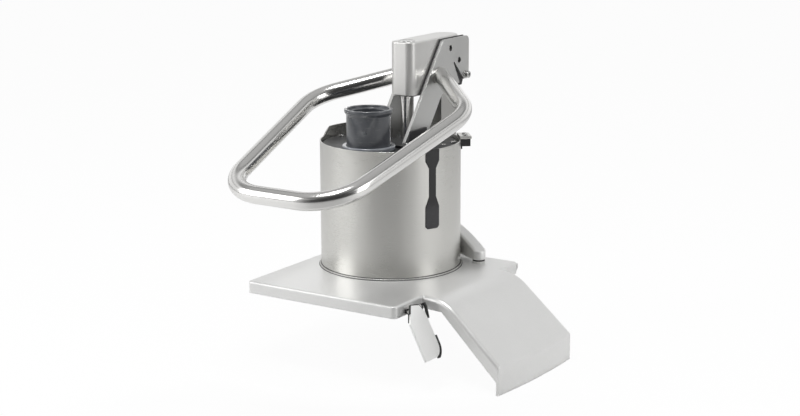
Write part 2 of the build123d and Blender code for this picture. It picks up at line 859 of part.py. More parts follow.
slot_top_y = mast_middle + slot_top_out
slot_top_z = head_bottom + slot_top_rise
slot_end_z = plate_knee - overrun
slot_corners = [
    (slot_top_y - slot_top_width / 2, slot_top_z),
    (slot_top_y + slot_top_width / 2, slot_top_z),
    (slot_foot + slot_foot_width, head_bottom + plate_tab_rise),
    (slot_foot + slot_foot_width, slot_end_z),
    (slot_foot, slot_end_z),
    (slot_foot, head_bottom + slot_foot_rise),
]
plate_corners = [
    (leg_toe, pusher_top),
    (front_line(plate_top), plate_top),
    (plate_rear, plate_top),
    (plate_rear, head_bottom + plate_rear_rise),
    (slot_foot + slot_foot_width, head_bottom + plate_tab_rise),
    (front_line(plate_knee) + leg_breadth, plate_knee),
    (leg_toe + leg_breadth, pusher_top),
]
liner_bottom = head_bottom + liner_margin
liner_top = plate_top + liner_margin
liner_rear = mast_middle + liner_rear_out
liner_corners = [
    (front_line(liner_bottom) - liner_proud, liner_bottom),
    (front_line(liner_top) - liner_proud, liner_top),
    (liner_rear, liner_top),
    (liner_rear, head_bottom + liner_rear_rise),
    (slot_foot + slot_foot_width, head_bottom + liner_corner_rise),
]


def side_plate_form(side):
    """One side plate; side is -1 for the left and 1 for the right."""
    with BuildPart() as plate:
        with BuildSketch(Plane.YZ.offset(side * plate_inner)) as outline:
            with BuildLine():
                Polyline(*plate_corners, close=True)
            make_face()
            fillet(outline.vertices().group_by(Axis.Y)[-1], plate_round)
            with BuildLine():
                Polyline(*slot_corners, close=True)
            make_face(mode=Mode.SUBTRACT)
            with Locations(*screw_places):
                Circle(plate_hole, mode=Mode.SUBTRACT)
            with Locations(tab_screw_place):
                Circle(plate_screw / 2 + shaft_play, mode=Mode.SUBTRACT)
        extrude(amount=side * plate_thickness)
    return plate


def side_liner_form(side):
    """Black liner between the head and one side plate."""
    with BuildPart() as liner:
        with BuildSketch(Plane.YZ.offset(side * head_half)):
            with BuildLine():
                Polyline(*liner_corners, close=True)
            make_face()
            with Locations(*screw_places, tab_screw_place):
                Circle(plate_screw / 2 + shaft_play, mode=Mode.SUBTRACT)
        extrude(amount=side * liner_thickness)
    return liner


side_plate_left = side_plate_form(-1)
side_plate_right = side_plate_form(1)
side_liner_left = side_liner_form(-1)
side_liner_right = side_liner_form(1)

with BuildPart() as plate_screws:
    for side in (-1, 1):
        with BuildSketch(Plane.YZ.offset(side * plate_inner)):
            with Locations(*screw_places):
                Circle(plate_screw / 2)
        extrude(amount=-side * (liner_thickness + thread_depth - blind_gap))
        with BuildSketch(Plane.YZ.offset(side * plate_inner)):
            with Locations(*screw_places):
                Circle(plate_screw_head)
        extrude(amount=side * plate_screw_head_height)

with BuildPart() as tab_washers:
    for side in (-1, 1):
        with BuildSketch(Plane.YZ.offset(side * plate_outer)):
            with Locations(tab_screw_place):
                Circle(tab_washer_radius)
                Circle(plate_screw / 2 + shaft_play, mode=Mode.SUBTRACT)
        extrude(amount=side * tab_washer_height)

tab_screw_length = tab_washer_height + plate_thickness + liner_thickness + thread_depth - blind_gap
with BuildPart() as tab_screws:
    for side in (-1, 1):
        with BuildSketch(Plane.YZ.offset(side * (plate_outer + tab_washer_height))):
            with Locations(tab_screw_place):
                Circle(plate_screw / 2)
        extrude(amount=-side * tab_screw_length)
        with BuildSketch(Plane.YZ.offset(side * (plate_outer + tab_washer_height))):
            with Locations(tab_screw_place):
                RegularPolygon(tab_screw_head, 6)
        extrude(amount=side * tab_head_height)

# Loop handle: one bent tube in a sloping plane, both ends welded to the side plates.
tilt = radians(handle_tilt)
handle_front_y = mast_middle - handle_weld_lead - handle_reach
handle_front_z = head_bottom + handle_weld_rise - handle_reach * tan(tilt)
handle_plane = Plane(
    origin=(0, handle_front_y, handle_front_z), x_dir=(1, 0, 0), z_dir=(0, -sin(tilt), cos(tilt))
)
back_run = (handle_reach - handle_back_reach) / cos(tilt)
weld_run = handle_reach / cos(tilt)
weld_slope = (weld_run - back_run) / (handle_back_half - plate_outer)
end_inset = plate_outer - handle_tube / 2
end_run = weld_run + weld_slope * handle_tube / 2
half_route = [(end_inset, end_run), (handle_back_half, back_run), (handle_front_half, 0)]
handle_route = half_route + [(-x, run) for x, run in reversed(half_route)]

with BuildPart() as handle_loop:
    with BuildLine(handle_plane) as handle_path:
        FilletPolyline(*handle_route, radius=handle_bend)
    with BuildSketch(Plane(origin=handle_path.line @ 0, z_dir=handle_path.line % 0)):
        Circle(handle_tube / 2)
        Circle(handle_tube / 2 - handle_wall, mode=Mode.SUBTRACT)
    sweep()
    with BuildSketch(Plane.XY.offset(pusher_top)):
        with Locations(mast_centre):
            Rectangle(2 * plate_outer, 3 * mast_depth)
    extrude(amount=head_top - pusher_top, mode=Mode.SUBTRACT)

# Pusher: hollow drum with a bottom, a hub for the rod and a screwed cover.
rod_spot = (0, rod_place)
with BuildPart() as pusher_body:
    with BuildSketch(Plane.XY.offset(pusher_bottom)):
        Circle(pusher_radius)
    extrude(amount=drum_top - pusher_bottom)
    chamfer(pusher_body.edges().group_by(Axis.Z)[0], pusher_chamfer)
    with BuildSketch(Plane.XY.offset(pusher_bottom + pusher_floor)):
        Circle(pusher_radius - pusher_wall)
        with Locations(rod_spot):
            Circle(hub_radius, mode=Mode.SUBTRACT)
    extrude(amount=drum_top - pusher_bottom - pusher_floor, mode=Mode.SUBTRACT)
    with BuildSketch(Plane.XY.offset(rod_bottom)):
        with Locations(rod_spot):
            Circle(rod_radius + shaft_play)
    extrude(amount=drum_top - rod_bottom, mode=Mode.SUBTRACT)
    with BuildSketch(Plane.XY.offset(pusher_bottom)):
        with Locations(feed_centre):
            Circle(feed_outer)
    extrude(amount=pusher_floor, mode=Mode.SUBTRACT)

cover_screw_spots = [
    angle_point(pusher_radius - cover_screw_inset, cover_screw_start + index * 360 / cover_screws_number)
    for index in range(cover_screws_number)
]
magnet_place = angle_point(pusher_radius - magnet_inset, magnet_angle)
collar_radius = feed_inner + feed_collar_width
bracket_clear = collar_radius + bracket_gap
bracket_toe = feed_place + bracket_clear * cos(asin(plate_outer / bracket_clear))
bracket_spots = [
    (side * (plate_outer + bracket_screw_out), place)
    for side in (-1, 1)
    for place in ((bracket_toe + leg_toe) / 2, leg_toe + bracket_screw_back)
]

with BuildPart() as pusher_cover:
    with BuildSketch(Plane.XY.offset(drum_top)):
        Circle(pusher_radius)
        with Locations(feed_centre):
            Circle(feed_outer, mode=Mode.SUBTRACT)
        with Locations(rod_spot):
            Circle(rod_radius + shaft_play, mode=Mode.SUBTRACT)
        with Locations(magnet_place):
            Circle(magnet_radius, mode=Mode.SUBTRACT)
        with Locations(*cover_screw_spots, *bracket_spots):
            Circle(small_screw / 2, mode=Mode.SUBTRACT)
    extrude(amount=cover_thickness)

with BuildPart() as pusher_magnet:
    with BuildSketch(Plane.XY.offset(drum_top)):
        with Locations(magnet_place):
            Circle(magnet_radius)
    extrude(amount=cover_thickness + magnet_proud)

with BuildPart() as feed_tube:
    with BuildSketch(Plane.XY.offset(pusher_bottom)):
        with Locations(feed_centre):
            Circle(feed_outer)
            Circle(feed_inner, mode=Mode.SUBTRACT)
    extrude(amount=pusher_top - pusher_bottom)
    with BuildSketch(Plane.XY.offset(pusher_bottom)):
        with Locations(feed_centre):
            Circle(feed_inner)
            Circle(feed_inner - feed_lip, mode=Mode.SUBTRACT)
    extrude(amount=feed_lip)

with BuildPart() as feed_collar:
    with BuildSketch(Plane.XY.offset(pusher_top)):
        with Locations(feed_centre):
            Circle(collar_radius)
            Circle(feed_inner, mode=Mode.SUBTRACT)
    extrude(amount=feed_collar_height)
    fillet(feed_collar.edges().group_by(Axis.Z)[-1].sort_by(SortBy.LENGTH)[-1:], feed_collar_round)


def leg_bracket_form(side):
    """Angle bracket that ties one leg to the pusher's cover."""
    heel = leg_toe + leg_breadth - bracket_heel
    with BuildPart() as bracket:
        with BuildSketch(Plane.XY.offset(pusher_top)):
            with Locations((side * (plate_outer + bracket_foot / 2), (bracket_toe + heel) / 2)):
                Rectangle(bracket_foot, heel - bracket_toe)
            with Locations(*bracket_spots):
                Circle(small_screw / 2, mode=Mode.SUBTRACT)
        extrude(amount=bracket_thickness)
        with BuildSketch(Plane.YZ.offset(side * plate_outer)):
            with BuildLine():
                Polyline(
                    (leg_toe, pusher_top),
                    (front_line(pusher_top + bracket_height), pusher_top + bracket_height),
                    (heel, pusher_top + bracket_height),
                    (heel, pusher_top),
                    close=True,
                )
            make_face()
        extrude(amount=side * bracket_thickness)
    return bracket


leg_bracket_left = leg_bracket_form(-1)
leg_bracket_right = leg_bracket_form(1)

with BuildPart() as bracket_screws:
    with BuildSketch(Plane.XY.offset(pusher_top + bracket_thickness)):
        with Locations(*bracket_spots):
            Circle(small_head_radius)
    extrude(amount=small_head_height)
    with BuildSketch(Plane.XY.offset(pusher_top + bracket_thickness)):
        with Locations(*bracket_spots):
            Circle(small_screw / 2 - shaft_play)
    extrude(amount=-bracket_thickness - cover_thickness)

with BuildPart() as cover_screws:
    with BuildSketch(Plane.XY.offset(pusher_top)):
        with Locations(*cover_screw_spots):
            Circle(small_head_radius)
    extrude(amount=small_head_height)
    with BuildSketch(Plane.XY.offset(pusher_top)):
        with Locations(*cover_screw_spots):
            Circle(small_screw / 2 - shaft_play)
    extrude(amount=-cover_thickness)

# Plunger: deep plastic cup with a flanged mouth, for long vegetables.
plunger_radius = feed_inner - plunger_play
plunger_bottom = pusher_bottom + feed_lip + stop_gap
plunger_top = pusher_top + feed_collar_height + plunger_grip
rim_foot = plunger_top - plunger_rim_height
plunger_outline = [
    (0, plunger_bottom),
    (plunger_radius, plunger_bottom),
    (plunger_radius, rim_foot - plunger_rim_taper),
    (plunger_rim, rim_foot),
    (plunger_rim, plunger_top),
    (plunger_radius - plunger_wall + plunger_step, plunger_top),
    (plunger_radius - plunger_wall + plunger_step, plunger_top - plunger_step),
    (plunger_radius - plunger_wall - plunger_step, plunger_top - plunger_step),
    (plunger_radius - plunger_wall - plunger_step, plunger_bottom + plunger_floor),
    (0, plunger_bottom + plunger_floor),
]
with BuildPart() as plunger:
    with BuildSketch(Plane(origin=(0, feed_place, 0), x_dir=(1, 0, 0), z_dir=(0, -1, 0))):
        with BuildLine():
            Polyline(*plunger_outline, close=True)
        make_face()
    revolve(axis=Axis((0, feed_place, 0), (0, 0, 1)))

# Latch: two cheeks on the right skirt, a pin, and a lever that hangs outwards with a black backing.
latch_pin_x = lid_right + latch_pin_out
latch_half = latch_width / 2
latch_middle = -chute_front - latch_chute_gap - latch_half
barrel_start = latch_middle - latch_half + barrel_inset
barrel_right = latch_half + barrel_out
barrel_length = latch_middle + barrel_right - barrel_start
lever_tilt = radians(latch_angle)
lever_out = (cos(lever_tilt), 0, sin(lever_tilt))
lever_plane = Plane(origin=(latch_pin_x, latch_middle, latch_pin_height), x_dir=(0, 1, 0), z_dir=lever_out)
cheek_places = (
    barrel_start - slide_play - cheek_thickness,
    barrel_start + barrel_length + slide_play,
)
pin_length = barrel_length + 2 * (slide_play + cheek_thickness)


def from_pin(out, up):
    """Point in the cheeks' plane, counted outwards and upwards from the pin."""
    return (latch_pin_x + out, latch_pin_height + up)


def lever_form(margin, thickness):
    """Plate in the lever's plane, larger than the lever's face by a margin all round."""
    with BuildPart() as form:
        with BuildSketch(lever_plane.offset(latch_barrel)) as face:
            with BuildLine():
                Polyline(
                    (latch_top_left - latch_half, latch_top_rise),
                    (-latch_half, -latch_shoulder),
                    (-latch_half, -latch_length),
                    (latch_half, -latch_length),
                    (latch_half, -latch_right_shoulder),
                    (latch_top_right - latch_half, latch_right_rise),
                    close=True,
                )
            make_face()
            fillet(face.vertices().group_by(Axis.Y)[0].sort_by(Axis.X)[-1:], latch_round)
            if margin > 0:
                offset(amount=margin)
        extrude(amount=thickness)
    return form.part


def lever_window(left, right, low, high):
    """Block that a stretch of the lever's rim is cut out with, in the lever's own lengths."""
    with BuildPart() as block:
        with BuildSketch(lever_plane.offset(latch_barrel - grip_thickness)):
            with Locations(((left + right) / 2, (low + high) / 2)):
                Rectangle(right - left, high - low)
        extrude(amount=grip_thickness + latch_plate)
    return block.part


with BuildPart() as latch_bracket:
    for place in cheek_places:
        with BuildSketch(Plane.XZ.offset(-place)):
            with Locations(from_pin(-latch_pin_out / 2, 0)):
                Rectangle(latch_pin_out, 2 * cheek_web)
            with Locations(from_pin(cheek_tail_out, -cheek_tail / 2)):
                Rectangle(2 * cheek_tail_half, cheek_tail)
            with Locations(from_pin(0, 0)):
                Circle(cheek_radius)
        extrude(amount=-cheek_thickness)
    with BuildSketch(Plane.XZ.offset(-cheek_places[1])):
        with BuildLine():
            Polyline(
                from_pin(0, cheek_radius),
                from_pin(hook_top_out, hook_top_rise),
                from_pin(hook_bend_out, hook_bend_rise),
                from_pin(hook_tip_out, -hook_tip_drop),
                from_pin(hook_tip_out - hook_width, -hook_tip_drop),
                from_pin(hook_bend_out - hook_width, hook_bend_rise),
                from_pin(hook_top_out - hook_width, hook_top_rise - hook_width),
                from_pin(0, 0),
                close=True,
            )
        make_face()
    extrude(amount=-cheek_thickness)
    with BuildSketch(Plane.XZ.offset(-cheek_places[0])):
        with Locations(from_pin(0, 0)):
            Circle(latch_pin_radius)
    extrude(amount=-pin_length, mode=Mode.SUBTRACT)

with BuildPart() as latch_pin:
    with BuildSketch(Plane.XZ.offset(pin_proud - cheek_places[0])):
        with Locations(from_pin(0, 0)):
            Circle(latch_pin_radius)
    extrude(amount=-pin_length - 2 * pin_proud)

with BuildPart() as latch_lever:
    with BuildSketch(Plane.XZ.offset(-barrel_start)):
        with Locations(from_pin(0, 0)):
            Circle(latch_barrel)
    extrude(amount=-barrel_length)
    with BuildSketch(lever_plane):
        with Locations((barrel_right - barrel_length / 2, 0)):
            Rectangle(barrel_length, saddle_height)
    extrude(amount=latch_barrel)
    add(lever_form(0, latch_plate))
    with BuildSketch(Plane.XZ.offset(-barrel_start)):
        with Locations(from_pin(0, 0)):
            Circle(latch_pin_radius + shaft_play)
    extrude(amount=-barrel_length, mode=Mode.SUBTRACT)

# The latch's black backing: a pad behind the lever, a rim round its lower corner and a cap on top.
rim_inner = latch_half - grip_rim_foot
rim_outer = latch_half + 2 * grip_rim
rim_window = lever_window(rim_inner, rim_outer, -latch_length - 2 * grip_rim, -grip_rim_top)
with BuildPart() as grip_rim_form:
    add(lever_form(grip_rim, latch_plate))
    add(lever_form(grip_rim, -grip_thickness))
    add(rim_window, mode=Mode.INTERSECT)

cap_left = -latch_half
cap_top = latch_top_rise + 2 * grip_cap
with BuildPart() as grip_cap_form:
    add(lever_form(grip_cap, latch_plate))
    add(lever_window(cap_left, latch_half, -grip_cap_drop, cap_top), mode=Mode.INTERSECT)

pad_right = latch_half - grip_inset
pad_left = latch_half - grip_width
with BuildPart() as latch_grip:
    with BuildSketch(lever_plane.offset(latch_barrel)):
        with Locations(((pad_left + pad_right) / 2, -(grip_top + grip_rim_top) / 2 - overrun)):
            Rectangle(pad_right - pad_left, grip_rim_top - grip_top + 2 * overrun)
    extrude(amount=-grip_thickness)
    add(grip_rim_form.part)
    add(lever_form(0, latch_plate), mode=Mode.SUBTRACT)

with BuildPart() as latch_cap:
    add(grip_cap_form.part)
    add(lever_form(0, latch_plate), mode=Mode.SUBTRACT)

# Write every piece under its own name.
os.makedirs("parts", exist_ok=True)
pieces = {
    "lid_shell": lid_shell,
    "lid_seal": lid_seal,
    "hopper_tube": hopper_tube,
    "hopper_collar": hopper_collar,
    "wall_insert": wall_insert,
    "catch_plate": catch_plate,
    "catch_block": catch_block,
    "catch_screws": catch_screws,
    "mast_bridge": mast_bridge,
    "foot_washers": foot_washers,
    "foot_seals": foot_seals,
    "bridge_bolts": bridge_bolts,
    "mast_tube": mast_tube,
    "mast_screws": mast_screws,
    "mast_top_bush": mast_top_bush,
    "mast_foot_plug": mast_foot_plug,
    "latch_bracket": latch_bracket,
    "latch_pin": latch_pin,
    "latch_lever": latch_lever,
    "latch_grip": latch_grip,
    "latch_cap": latch_cap,
    "head_casting": head_casting,
    "guide_rod": guide_rod,
    "rod_cap": rod_cap,
    "inner_post": inner_post,
    "post_slider": post_slider,
    "side_plate_left": side_plate_left,
    "side_plate_right": side_plate_right,
    "side_liner_left": side_liner_left,
    "side_liner_right": side_liner_right,
    "plate_screws": plate_screws,
    "tab_washers": tab_washers,
    "tab_screws": tab_screws,
    "handle_loop": handle_loop,
    "pusher_body": pusher_body,
    "pusher_cover": pusher_cover,
    "pusher_magnet": pusher_magnet,
    "feed_tube": feed_tube,
    "feed_collar": feed_collar,
    "leg_bracket_left": leg_bracket_left,
    "leg_bracket_right": leg_bracket_right,
    "bracket_screws": bracket_screws,
    "cover_screws": cover_screws,
    "plunger": plunger,
}
for name, piece in pieces.items():
    piece.part.label = name
    export_step(piece.part, f"parts/{name}.step")
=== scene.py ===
# Feed head of a vegetable cutting machine: a cast lid with its chute, the feed hopper, and the
# pusher carriage that rides on a mast behind it. Lengths are in metres.
import math
import random

import bmesh
import bpy
from mathutils import Matrix, Vector


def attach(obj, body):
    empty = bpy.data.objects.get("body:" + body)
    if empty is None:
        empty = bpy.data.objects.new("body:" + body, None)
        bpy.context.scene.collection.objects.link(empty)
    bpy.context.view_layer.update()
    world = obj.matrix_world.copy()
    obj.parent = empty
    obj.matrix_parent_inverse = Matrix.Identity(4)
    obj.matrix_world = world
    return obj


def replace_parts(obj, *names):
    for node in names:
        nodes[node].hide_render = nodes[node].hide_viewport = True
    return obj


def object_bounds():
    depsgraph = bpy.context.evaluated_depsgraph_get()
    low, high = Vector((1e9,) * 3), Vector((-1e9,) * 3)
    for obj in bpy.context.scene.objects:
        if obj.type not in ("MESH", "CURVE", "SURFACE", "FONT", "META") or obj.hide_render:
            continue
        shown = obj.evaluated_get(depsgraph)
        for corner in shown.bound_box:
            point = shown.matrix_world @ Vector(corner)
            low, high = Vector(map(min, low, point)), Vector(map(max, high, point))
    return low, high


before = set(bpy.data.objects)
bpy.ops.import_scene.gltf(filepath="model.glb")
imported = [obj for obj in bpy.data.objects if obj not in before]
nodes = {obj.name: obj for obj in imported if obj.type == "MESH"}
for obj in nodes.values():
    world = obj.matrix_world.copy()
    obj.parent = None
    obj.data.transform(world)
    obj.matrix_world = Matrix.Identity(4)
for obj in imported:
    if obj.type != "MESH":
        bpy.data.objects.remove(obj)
cad_low, cad_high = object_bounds()


# Camera. It stands in front of the part and to its right, a little above the lid, as for a
# catalogue picture. Its place and lens come from the straight edges of the hopper and the handle.
camera_place = Vector((1.10395, -1.69677, 0.55327))
camera_look = Vector((-0.52657, 0.81998, -0.22440)).normalized()
camera_up = Vector((-0.11878, 0.19041, 0.97449))

camera_data = bpy.data.cameras.new("Camera")
camera_data.lens = 72.52
camera_data.sensor_width = 36.0
camera = bpy.data.objects.new("Camera", camera_data)
camera_right = camera_look.cross(camera_up).normalized()
camera_turn = Matrix((camera_right, camera_right.cross(camera_look), -camera_look)).transposed()
camera.matrix_world = Matrix.Translation(camera_place) @ camera_turn.to_4x4()
bpy.context.scene.collection.objects.link(camera)
bpy.context.scene.camera = camera
bpy.context.scene.view_settings.view_transform = "Standard"


# Studio. A white paper floor under the part, soft boxes to the left, the right and overhead, and a
# dark wall behind the camera and grey strips overhead that give the bright metal its bands.
floor_drop = 0.0005
floor_radius = 9.0
floor_glow = 0.95
dark_wall_side = Vector((0.54, -0.84, 0.0)).normalized()
room_lights = ((0.0, 1.0), (0.30, 0.86), (0.60, 0.72), (0.74, 0.50), (0.90, 0.07), (1.0, 0.04))
ceiling_lights = (
    (0.0, 1.0), (0.34, 1.0), (0.40, 0.35), (0.46, 1.0), (0.58, 1.0), (0.66, 0.25), (0.80, 0.6),
)
floor_shade = ((0.0, 0.90), (0.55, 0.88), (0.80, 0.70), (0.97, 0.50))
floor_shade_side = Vector((0.46, -0.89, 0.0)).normalized()
floor_shade_start = 0.15


def soft_box(name, place, width, height, power):
    """A rectangular lamp that faces the middle of the part."""
    lamp = bpy.data.lights.new(name, "AREA")
    lamp.shape = "RECTANGLE"
    lamp.size = width
    lamp.size_y = height
    lamp.energy = power
    box = bpy.data.objects.new(name, lamp)
    middle = (cad_low + cad_high) / 2
    box.location = place
    box.rotation_mode = "QUATERNION"
    box.rotation_quaternion = (middle - Vector(place)).to_track_quat("-Z", "Y")
    bpy.context.scene.collection.objects.link(box)


soft_box("box_left", place=(-1.50, -1.45, 0.95), width=1.3, height=1.6, power=17)
soft_box("box_right", place=(1.95, 0.10, 0.85), width=0.9, height=1.6, power=10)
soft_box("box_top", place=(0.05, -0.60, 2.00), width=0.7, height=0.7, power=21)


def sum_node(tree, operation, first, second):
    """A sum on two values, each one either a socket or a number."""
    node = tree.nodes.new("ShaderNodeMath")
    node.operation = operation
    for socket, value in zip(node.inputs, (first, second)):
        if isinstance(value, bpy.types.NodeSocket):
            tree.links.new(value, socket)
        else:
            socket.default_value = value
    return node.outputs["Value"]


def vector_node(tree, operation, first, second=None):
    """A sum on directions or colours; the second one is a socket or a fixed direction."""
    node = tree.nodes.new("ShaderNodeVectorMath")
    node.operation = operation
    tree.links.new(first, node.inputs[0])
    if isinstance(second, bpy.types.NodeSocket):
        tree.links.new(second, node.inputs[1])
    elif second is not None:
        node.inputs[1].default_value = second
    return node.outputs


def mixed(tree, factor, first, second):
    """One colour that goes over into another, each one either a socket or a colour."""
    node = tree.nodes.new("ShaderNodeMix")
    node.data_type = "RGBA"
    tree.links.new(factor, node.inputs["Factor"])
    for name, colour in (("A", first), ("B", second)):
        if isinstance(colour, bpy.types.NodeSocket):
            tree.links.new(colour, node.inputs[name])
        else:
            node.inputs[name].default_value = colour
    return node.outputs["Result"]


def grey_ramp(tree, value, stops):
    """Greys that follow a value, eased between (place, brightness) stops."""
    ramp = tree.nodes.new("ShaderNodeValToRGB")
    ramp.color_ramp.interpolation = "EASE"
    marks = ramp.color_ramp.elements
    while len(marks) < len(stops):
        marks.new(0.5)
    for mark, (stop, light) in zip(marks, stops):
        mark.position = stop
    for mark, (stop, light) in zip(marks, stops):
        mark.color = (light, light, light, 1)
    tree.links.new(value, ramp.inputs["Fac"])
    return ramp.outputs["Color"]


room = bpy.data.worlds.new("Room")
room.use_nodes = True
tree = room.node_tree
tree.nodes.clear()
direction = tree.nodes.new("ShaderNodeTexCoord").outputs["Generated"]
towards_wall = vector_node(tree, "DOT_PRODUCT", direction, dark_wall_side)["Value"]
turn = tree.nodes.new("ShaderNodeMapRange")
turn.inputs["From Min"].default_value = -1.0
tree.links.new(towards_wall, turn.inputs["Value"])
walls = grey_ramp(tree, turn.outputs["Result"], room_lights)
height = tree.nodes.new("ShaderNodeSeparateXYZ")
tree.links.new(direction, height.inputs["Vector"])
ceiling = grey_ramp(tree, height.outputs["Z"], ceiling_lights)
whole_room = vector_node(tree, "MULTIPLY", walls, ceiling)["Vector"]
rays = tree.nodes.new("ShaderNodeLightPath")
seen = mixed(tree, rays.outputs["Is Camera Ray"], whole_room, (1, 1, 1, 1))
backdrop = tree.nodes.new("ShaderNodeBackground")
tree.links.new(seen, backdrop.inputs["Color"])
world_out = tree.nodes.new("ShaderNodeOutputWorld")
tree.links.new(backdrop.outputs["Background"], world_out.inputs["Surface"])
bpy.context.scene.world = room

floor_mesh = bpy.data.meshes.new("floor")
sheet = bmesh.new()
bmesh.ops.create_circle(sheet, cap_ends=True, radius=floor_radius, segments=96)
sheet.to_mesh(floor_mesh)
sheet.free()
floor = bpy.data.objects.new("floor", floor_mesh)
floor.location.z = cad_low.z - floor_drop
bpy.context.scene.collection.objects.link(floor)
floor_paper = bpy.data.materials.new("floor paper")
floor_paper.use_nodes = True
tree = floor_paper.node_tree
paper = tree.nodes["Principled BSDF"]
paper.inputs["Roughness"].default_value = 0.9
spot = tree.nodes.new("ShaderNodeTexCoord").outputs["Object"]
outwards = vector_node(tree, "NORMALIZE", spot)["Vector"]
towards_camera = vector_node(tree, "DOT_PRODUCT", outwards, floor_shade_side)["Value"]
start = tree.nodes.new("ShaderNodeMapRange")
start.interpolation_type = "SMOOTHSTEP"
start.inputs["From Min"].default_value = floor_shade_start
start.inputs["From Max"].default_value = 2 * floor_shade_start
tree.links.new(vector_node(tree, "LENGTH", spot)["Value"], start.inputs["Value"])
shaded = sum_node(tree, "MULTIPLY", towards_camera, start.outputs["Result"])
tree.links.new(grey_ramp(tree, shaded, floor_shade), paper.inputs["Base Color"])
glow = tree.nodes.new("ShaderNodeEmission")
blend = tree.nodes.new("ShaderNodeMixShader")
rays = tree.nodes.new("ShaderNodeLightPath")
share = sum_node(tree, "MULTIPLY", rays.outputs["Is Camera Ray"], floor_glow)
tree.links.new(share, blend.inputs["Fac"])
tree.links.new(paper.outputs["BSDF"], blend.inputs[1])
tree.links.new(glow.outputs["Emission"], blend.inputs[2])
tree.links.new(blend.outputs["Shader"], tree.nodes["Material Output"].inputs["Surface"])
floor_mesh.materials.append(floor_paper)


# Lid. One aluminium casting with its skirt and the discharge chute, shot with glass beads after
# fettling: a fine even grain, a soft cloudiness, and edges painted lighter, partly rub and partly
# painted highlight.
lid_colour = (0.76, 0.76, 0.75)
lid_rub_and_highlight_colour = (0.97, 0.97, 0.96)


def node_group(name, inputs, outputs):
    """An empty shader node group with these named values going in and coming out."""
    made = bpy.data.node_groups.new(name, "ShaderNodeTree")
    for socket_name, kind, value in inputs:
        socket = made.interface.new_socket(socket_name, in_out="INPUT", socket_type=kind)
        socket.default_value = value
    for socket_name, kind in outputs:
        made.interface.new_socket(socket_name, in_out="OUTPUT", socket_type=kind)
    return made, made.nodes.new("NodeGroupInput"), made.nodes.new("NodeGroupOutput")


def noise_node(made, place, scale, detail=3.0, stretch=None):
    """Noise over the piece's own place, with a scale of spots per metre."""
    noise = made.nodes.new("ShaderNodeTexNoise")
    noise.inputs["Detail"].default_value = detail
    if isinstance(scale, bpy.types.NodeSocket):
        made.links.new(scale, noise.inputs["Scale"])
    else:
        noise.inputs["Scale"].default_value = scale
    if stretch:
        mapping = made.nodes.new("ShaderNodeMapping")
        mapping.inputs["Scale"].default_value = stretch
        made.links.new(place, mapping.inputs["Vector"])
        place = mapping.outputs["Vector"]
    made.links.new(place, noise.inputs["Vector"])
    return noise.outputs["Fac"]


FLOAT = "NodeSocketFloat"
COLOUR = "NodeSocketColor"

# Edge rub and highlight: where two faces meet, the real edge is rounded. The mask paints such
# edges lighter, partly rub and partly painted highlight; the normal rounds their shading.
edge_rub_and_highlight, take, give = node_group(
    "edge rub and highlight", [("Radius", FLOAT, 0.0012), ("Break Up", FLOAT, 0.4)],
    [("Mask", FLOAT), ("Normal", "NodeSocketVector")],
)
edge_strength = 10.0
rounded = edge_rub_and_highlight.nodes.new("ShaderNodeBevel")
rounded.samples = 4
edge_rub_and_highlight.links.new(take.outputs["Radius"], rounded.inputs["Radius"])
flat_normal = edge_rub_and_highlight.nodes.new("ShaderNodeNewGeometry").outputs["Normal"]
alike = vector_node(edge_rub_and_highlight, "DOT_PRODUCT", rounded.outputs["Normal"], flat_normal)["Value"]
bent = sum_node(edge_rub_and_highlight, "SUBTRACT", 1.0, alike)
place = edge_rub_and_highlight.nodes.new("ShaderNodeTexCoord").outputs["Object"]
chips = noise_node(edge_rub_and_highlight, place, scale=320.0)
worn = sum_node(edge_rub_and_highlight, "MULTIPLY", chips, take.outputs["Break Up"])
kept = sum_node(edge_rub_and_highlight, "SUBTRACT", 1.0, worn)
strong = sum_node(edge_rub_and_highlight, "MULTIPLY", bent, edge_strength)
mask = sum_node(edge_rub_and_highlight, "MULTIPLY", strong, kept)
mask.node.use_clamp = True
edge_rub_and_highlight.links.new(mask, give.inputs["Mask"])
edge_rub_and_highlight.links.new(rounded.outputs["Normal"], give.inputs["Normal"])


def swing(group, noise, amount):
    """Noise of 0 to 1 as a swing about nothing, by that amount."""
    return sum_node(group, "MULTIPLY", sum_node(group, "SUBTRACT", noise, 0.5), amount)


def give_colour(group, take, give, shifts):
    """The group's colour, brighter or darker by the sum of two swings, and lighter on its edges,
    partly rub and partly painted highlight.
    """
    brightness = sum_node(group, "ADD", 1.0, sum_node(group, "ADD", *shifts))
    tinted = group.nodes.new("ShaderNodeVectorMath")
    tinted.operation = "SCALE"
    group.links.new(take.outputs["Color"], tinted.inputs[0])
    group.links.new(brightness, tinted.inputs["Scale"])
    edged = mixed(
        group, take.outputs["Edge"], tinted.outputs["Vector"], take.outputs["Edge Color"]
    )
    group.links.new(edged, give.inputs["Color"])


# Blasted grain: tiny dimples of the shot over the slow swell of the cast skin.
blasted_grain, take, give = node_group(
    "blasted grain",
    [
        ("Color", COLOUR, (0.6, 0.6, 0.6, 1)),
        ("Edge Color", COLOUR, (0.8, 0.8, 0.8, 1)),
        ("Edge", FLOAT, 0.0),
        ("Grain Size", FLOAT, 0.0008),
        ("Cloud", FLOAT, 0.10),
        ("Speckle", FLOAT, 0.12),
        ("Roughness", FLOAT, 0.42),
    ],
    [("Color", COLOUR), ("Roughness", FLOAT), ("Height", FLOAT)],
)
place = blasted_grain.nodes.new("ShaderNodeTexCoord").outputs["Object"]
grain_scale = sum_node(blasted_grain, "DIVIDE", 1.0, take.outputs["Grain Size"])
grain = noise_node(blasted_grain, place, grain_scale, detail=2.0)
skin = noise_node(blasted_grain, place, scale=150.0)
cloud = noise_node(blasted_grain, place, scale=14.0)
grain_shift = swing(blasted_grain, grain, take.outputs["Speckle"])
